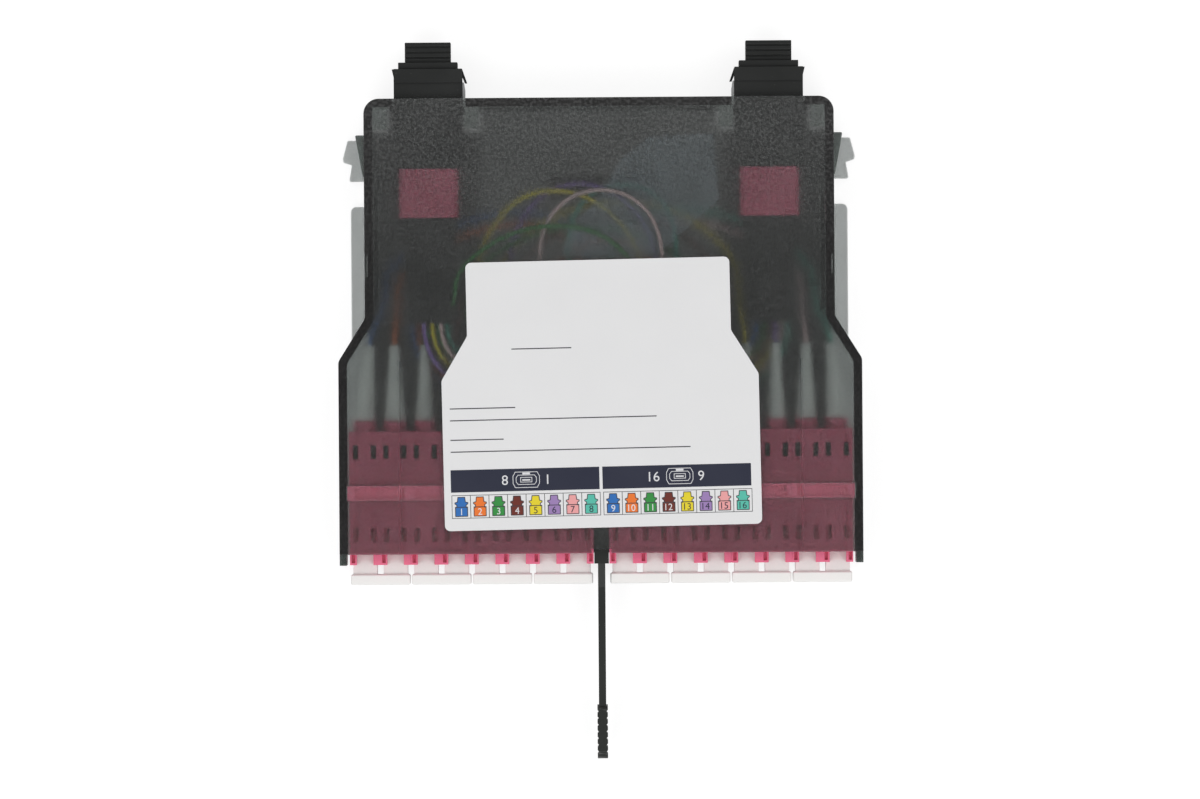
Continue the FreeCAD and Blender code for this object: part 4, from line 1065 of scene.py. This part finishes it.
    @staticmethod
    def _frame_tree() -> NodeTree:
        """A thin rectangular frame on each point of the input."""
        sizes = {"Width": "Float", "Height": "Float", "Line": "Float"}
        n, given = geometry_tree("cell frames", **sizes, Material="Material")
        bars = []
        for upright in (False, True):
            length = n.math("ADD", given["Height" if upright else "Width"], given["Line"])
            size_x, size_y = (given["Line"], length) if upright else (length, given["Line"])
            sides = {"Size X": size_x, "Size Y": size_y, "Vertices X": 2, "Vertices Y": 2}
            for far in (0.0, 1.0):
                share_x, share_y = (far, 0.5) if upright else (0.5, far)
                x = n.math("MULTIPLY", given["Width"], share_x)
                y = n.math("MULTIPLY", given["Height"], share_y)
                bar = n.add("GeometryNodeMeshGrid", sides).outputs[0]
                place = n.add("ShaderNodeCombineXYZ", {"X": x, "Y": y}).outputs[0]
                bars.append(n.add("GeometryNodeTransform", {0: bar, "Translation": place}).outputs[0])
        frame = n.add("GeometryNodeJoinGeometry")
        for bar in bars:
            n.tree.links.new(bar, frame.inputs[0])
        return set_on_points(n, given, frame.outputs[0])

    def _rules(self, finishes: Finishes) -> None:
        """Thin write-in rules in the label's upper part."""
        meshes = [self._box(x, y, width, self.rule_line, self.ink) for x, y, width in self.rules]
        self._place(joined("rules", meshes), "label_rules", "ink_grey", finishes)


def ring_mesh(outline: list[Pair], width: float, z: float) -> Mesh:
    """A flat line along the inside of a closed outline with its corners counterclockwise."""
    count = len(outline)
    inner = []
    for i in range(count):
        here = Vector(outline[i])
        before = (here - Vector(outline[i - 1])).normalized()
        after = (Vector(outline[(i + 1) % count]) - here).normalized()
        inwards = Vector((-(before.y + after.y), before.x + after.x))
        reach = width / max(SHARPEST_CORNER, inwards.length / 2)
        inner.append(here + inwards.normalized() * reach)
    points = [(x * MM, y * MM, z * MM) for x, y in list(outline) + [tuple(p) for p in inner]]
    faces = [(i, (i + 1) % count, count + (i + 1) % count, count + i) for i in range(count)]
    mesh = bpy.data.meshes.new("ring")
    mesh.from_pydata(points, [], faces)
    return mesh


# ---- Studio


@dataclass
class Studio:
    """A pale floor, plain soft light and a camera straight above."""

    seen_width: float = 252.6
    centre: Pair = (-0.1, -15.65)
    distance: float = 2600.0
    # The level at which the camera sees that width.
    level: float = 12.0
    roll: float = -0.4
    sensor: float = 36.0
    # Metres, as are the floor's measures and the lamps' places and sizes.
    farthest: float = 20.0
    floor_reach: float = 3.0
    floor_level: float = -3e-4
    floor_grey: float = 0.88
    floor_grey_seen: float = 0.28
    floor_roughness: float = 0.9
    floor_glow_seen: float = 0.83
    floor_glow_through: float = 0.20
    sky: float = 0.24
    lamps: tuple[tuple[str, Triple, float, float], ...] = (
        ("front_left_lamp", (-0.62, -0.60, 0.78), 0.9, 5.6),
        ("front_right_lamp", (0.62, -0.60, 0.78), 0.9, 5.6),
        ("rear_left_lamp", (-0.58, 0.64, 0.78), 0.8, 2.9),
        ("rear_right_lamp", (0.60, 0.62, 0.80), 0.8, 2.9),
    )

    def build(self) -> None:
        """Makes the floor, the light and the camera."""
        self._floor()
        self._light()
        self._camera()

    def _floor(self) -> None:
        """A wide pale floor that shows as white and keeps the soft shadow."""
        mesh = bpy.data.meshes.new("floor")
        turns = ((-1, -1), (1, -1), (1, 1), (-1, 1))
        corners = [(x * self.floor_reach, y * self.floor_reach, self.floor_level) for x, y in turns]
        mesh.from_pydata(corners, [], [(0, 1, 2, 3)])
        floor = add_piece("floor", mesh)
        material, n, shader = new_material("pale_floor")
        ray = n.add("ShaderNodeLightPath").outputs
        plain, seen = ((grey, grey, grey, 1) for grey in (self.floor_grey, self.floor_grey_seen))
        tones = {0: ray["Is Camera Ray"], 6: plain, 7: seen}
        colour = n.add("ShaderNodeMix", tones, data_type="RGBA").outputs[2]
        through = n.math("MULTIPLY", ray["Is Transmission Ray"], self.floor_glow_through)
        glow = n.math("MULTIPLY_ADD", ray["Is Camera Ray"], self.floor_glow_seen, through)
        n.fill(
            shader,
            {
                "Base Color": colour,
                "Roughness": self.floor_roughness,
                "Specular IOR Level": 0.0,
                "Emission Color": (1, 1, 1, 1),
                "Emission Strength": glow,
            },
        )
        mesh.materials.append(material)

    def _light(self) -> None:
        """A weak even sky with four large soft lamps round the cassette."""
        world = bpy.data.worlds.new("pale_sky")
        bpy.context.scene.world = world
        world.use_nodes = True
        n = Nodes(world.node_tree)
        ray = n.add("ShaderNodeLightPath").outputs
        strength = n.add("ShaderNodeMix", {0: ray["Is Camera Ray"], 2: self.sky, 3: 1.0}).outputs[0]
        n.fill(n.tree.nodes["Background"], {"Color": (1, 1, 1, 1), "Strength": strength})
        for name, place, size, power in self.lamps:
            lamp = bpy.data.lights.new(name, "AREA")
            lamp.shape = "SQUARE"
            lamp.size = size
            lamp.energy = power
            holder = bpy.data.objects.new(name, lamp)
            bpy.context.scene.collection.objects.link(holder)
            holder.location = place
            holder.rotation_euler = (-Vector(place)).to_track_quat("-Z", "Y").to_euler()

    def _camera(self) -> None:
        """A long lens straight above the cassette, with the MPO ports at the top of the picture."""
        camera = bpy.data.cameras.new("camera")
        camera.sensor_width = self.sensor
        camera.lens = self.sensor * (self.distance - self.level) / self.seen_width
        camera.clip_end = self.farthest
        holder = bpy.data.objects.new("camera", camera)
        bpy.context.scene.collection.objects.link(holder)
        holder.location = Vector((*self.centre, self.distance)) * MM
        holder.rotation_euler = (0, 0, math.radians(self.roll))
        bpy.context.scene.camera = holder


def corners(bounds: tuple[Vector, Vector]) -> list[list[float]]:
    """A box's two corners as plain lists."""
    return [list(map(float, corner)) for corner in bounds]


def main() -> None:
    """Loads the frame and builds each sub-assembly in turn."""
    logging.basicConfig(level=logging.INFO, format="%(name)s: %(message)s")
    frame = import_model()
    bpy.context.scene.view_settings.view_transform = "Standard"
    finishes = Finishes()
    Studio().build()
    Housing().build(frame, finishes)
    LatchShadeBlocks().build(finishes)
    StrainBoots().build(finishes)
    FibreSet().build(finishes)
    PaintedReflectionSheet().build(finishes)
    PrintedLabel().build(frame, finishes)
    bpy.context.view_layer.update()


if __name__ == "__main__":
    main()
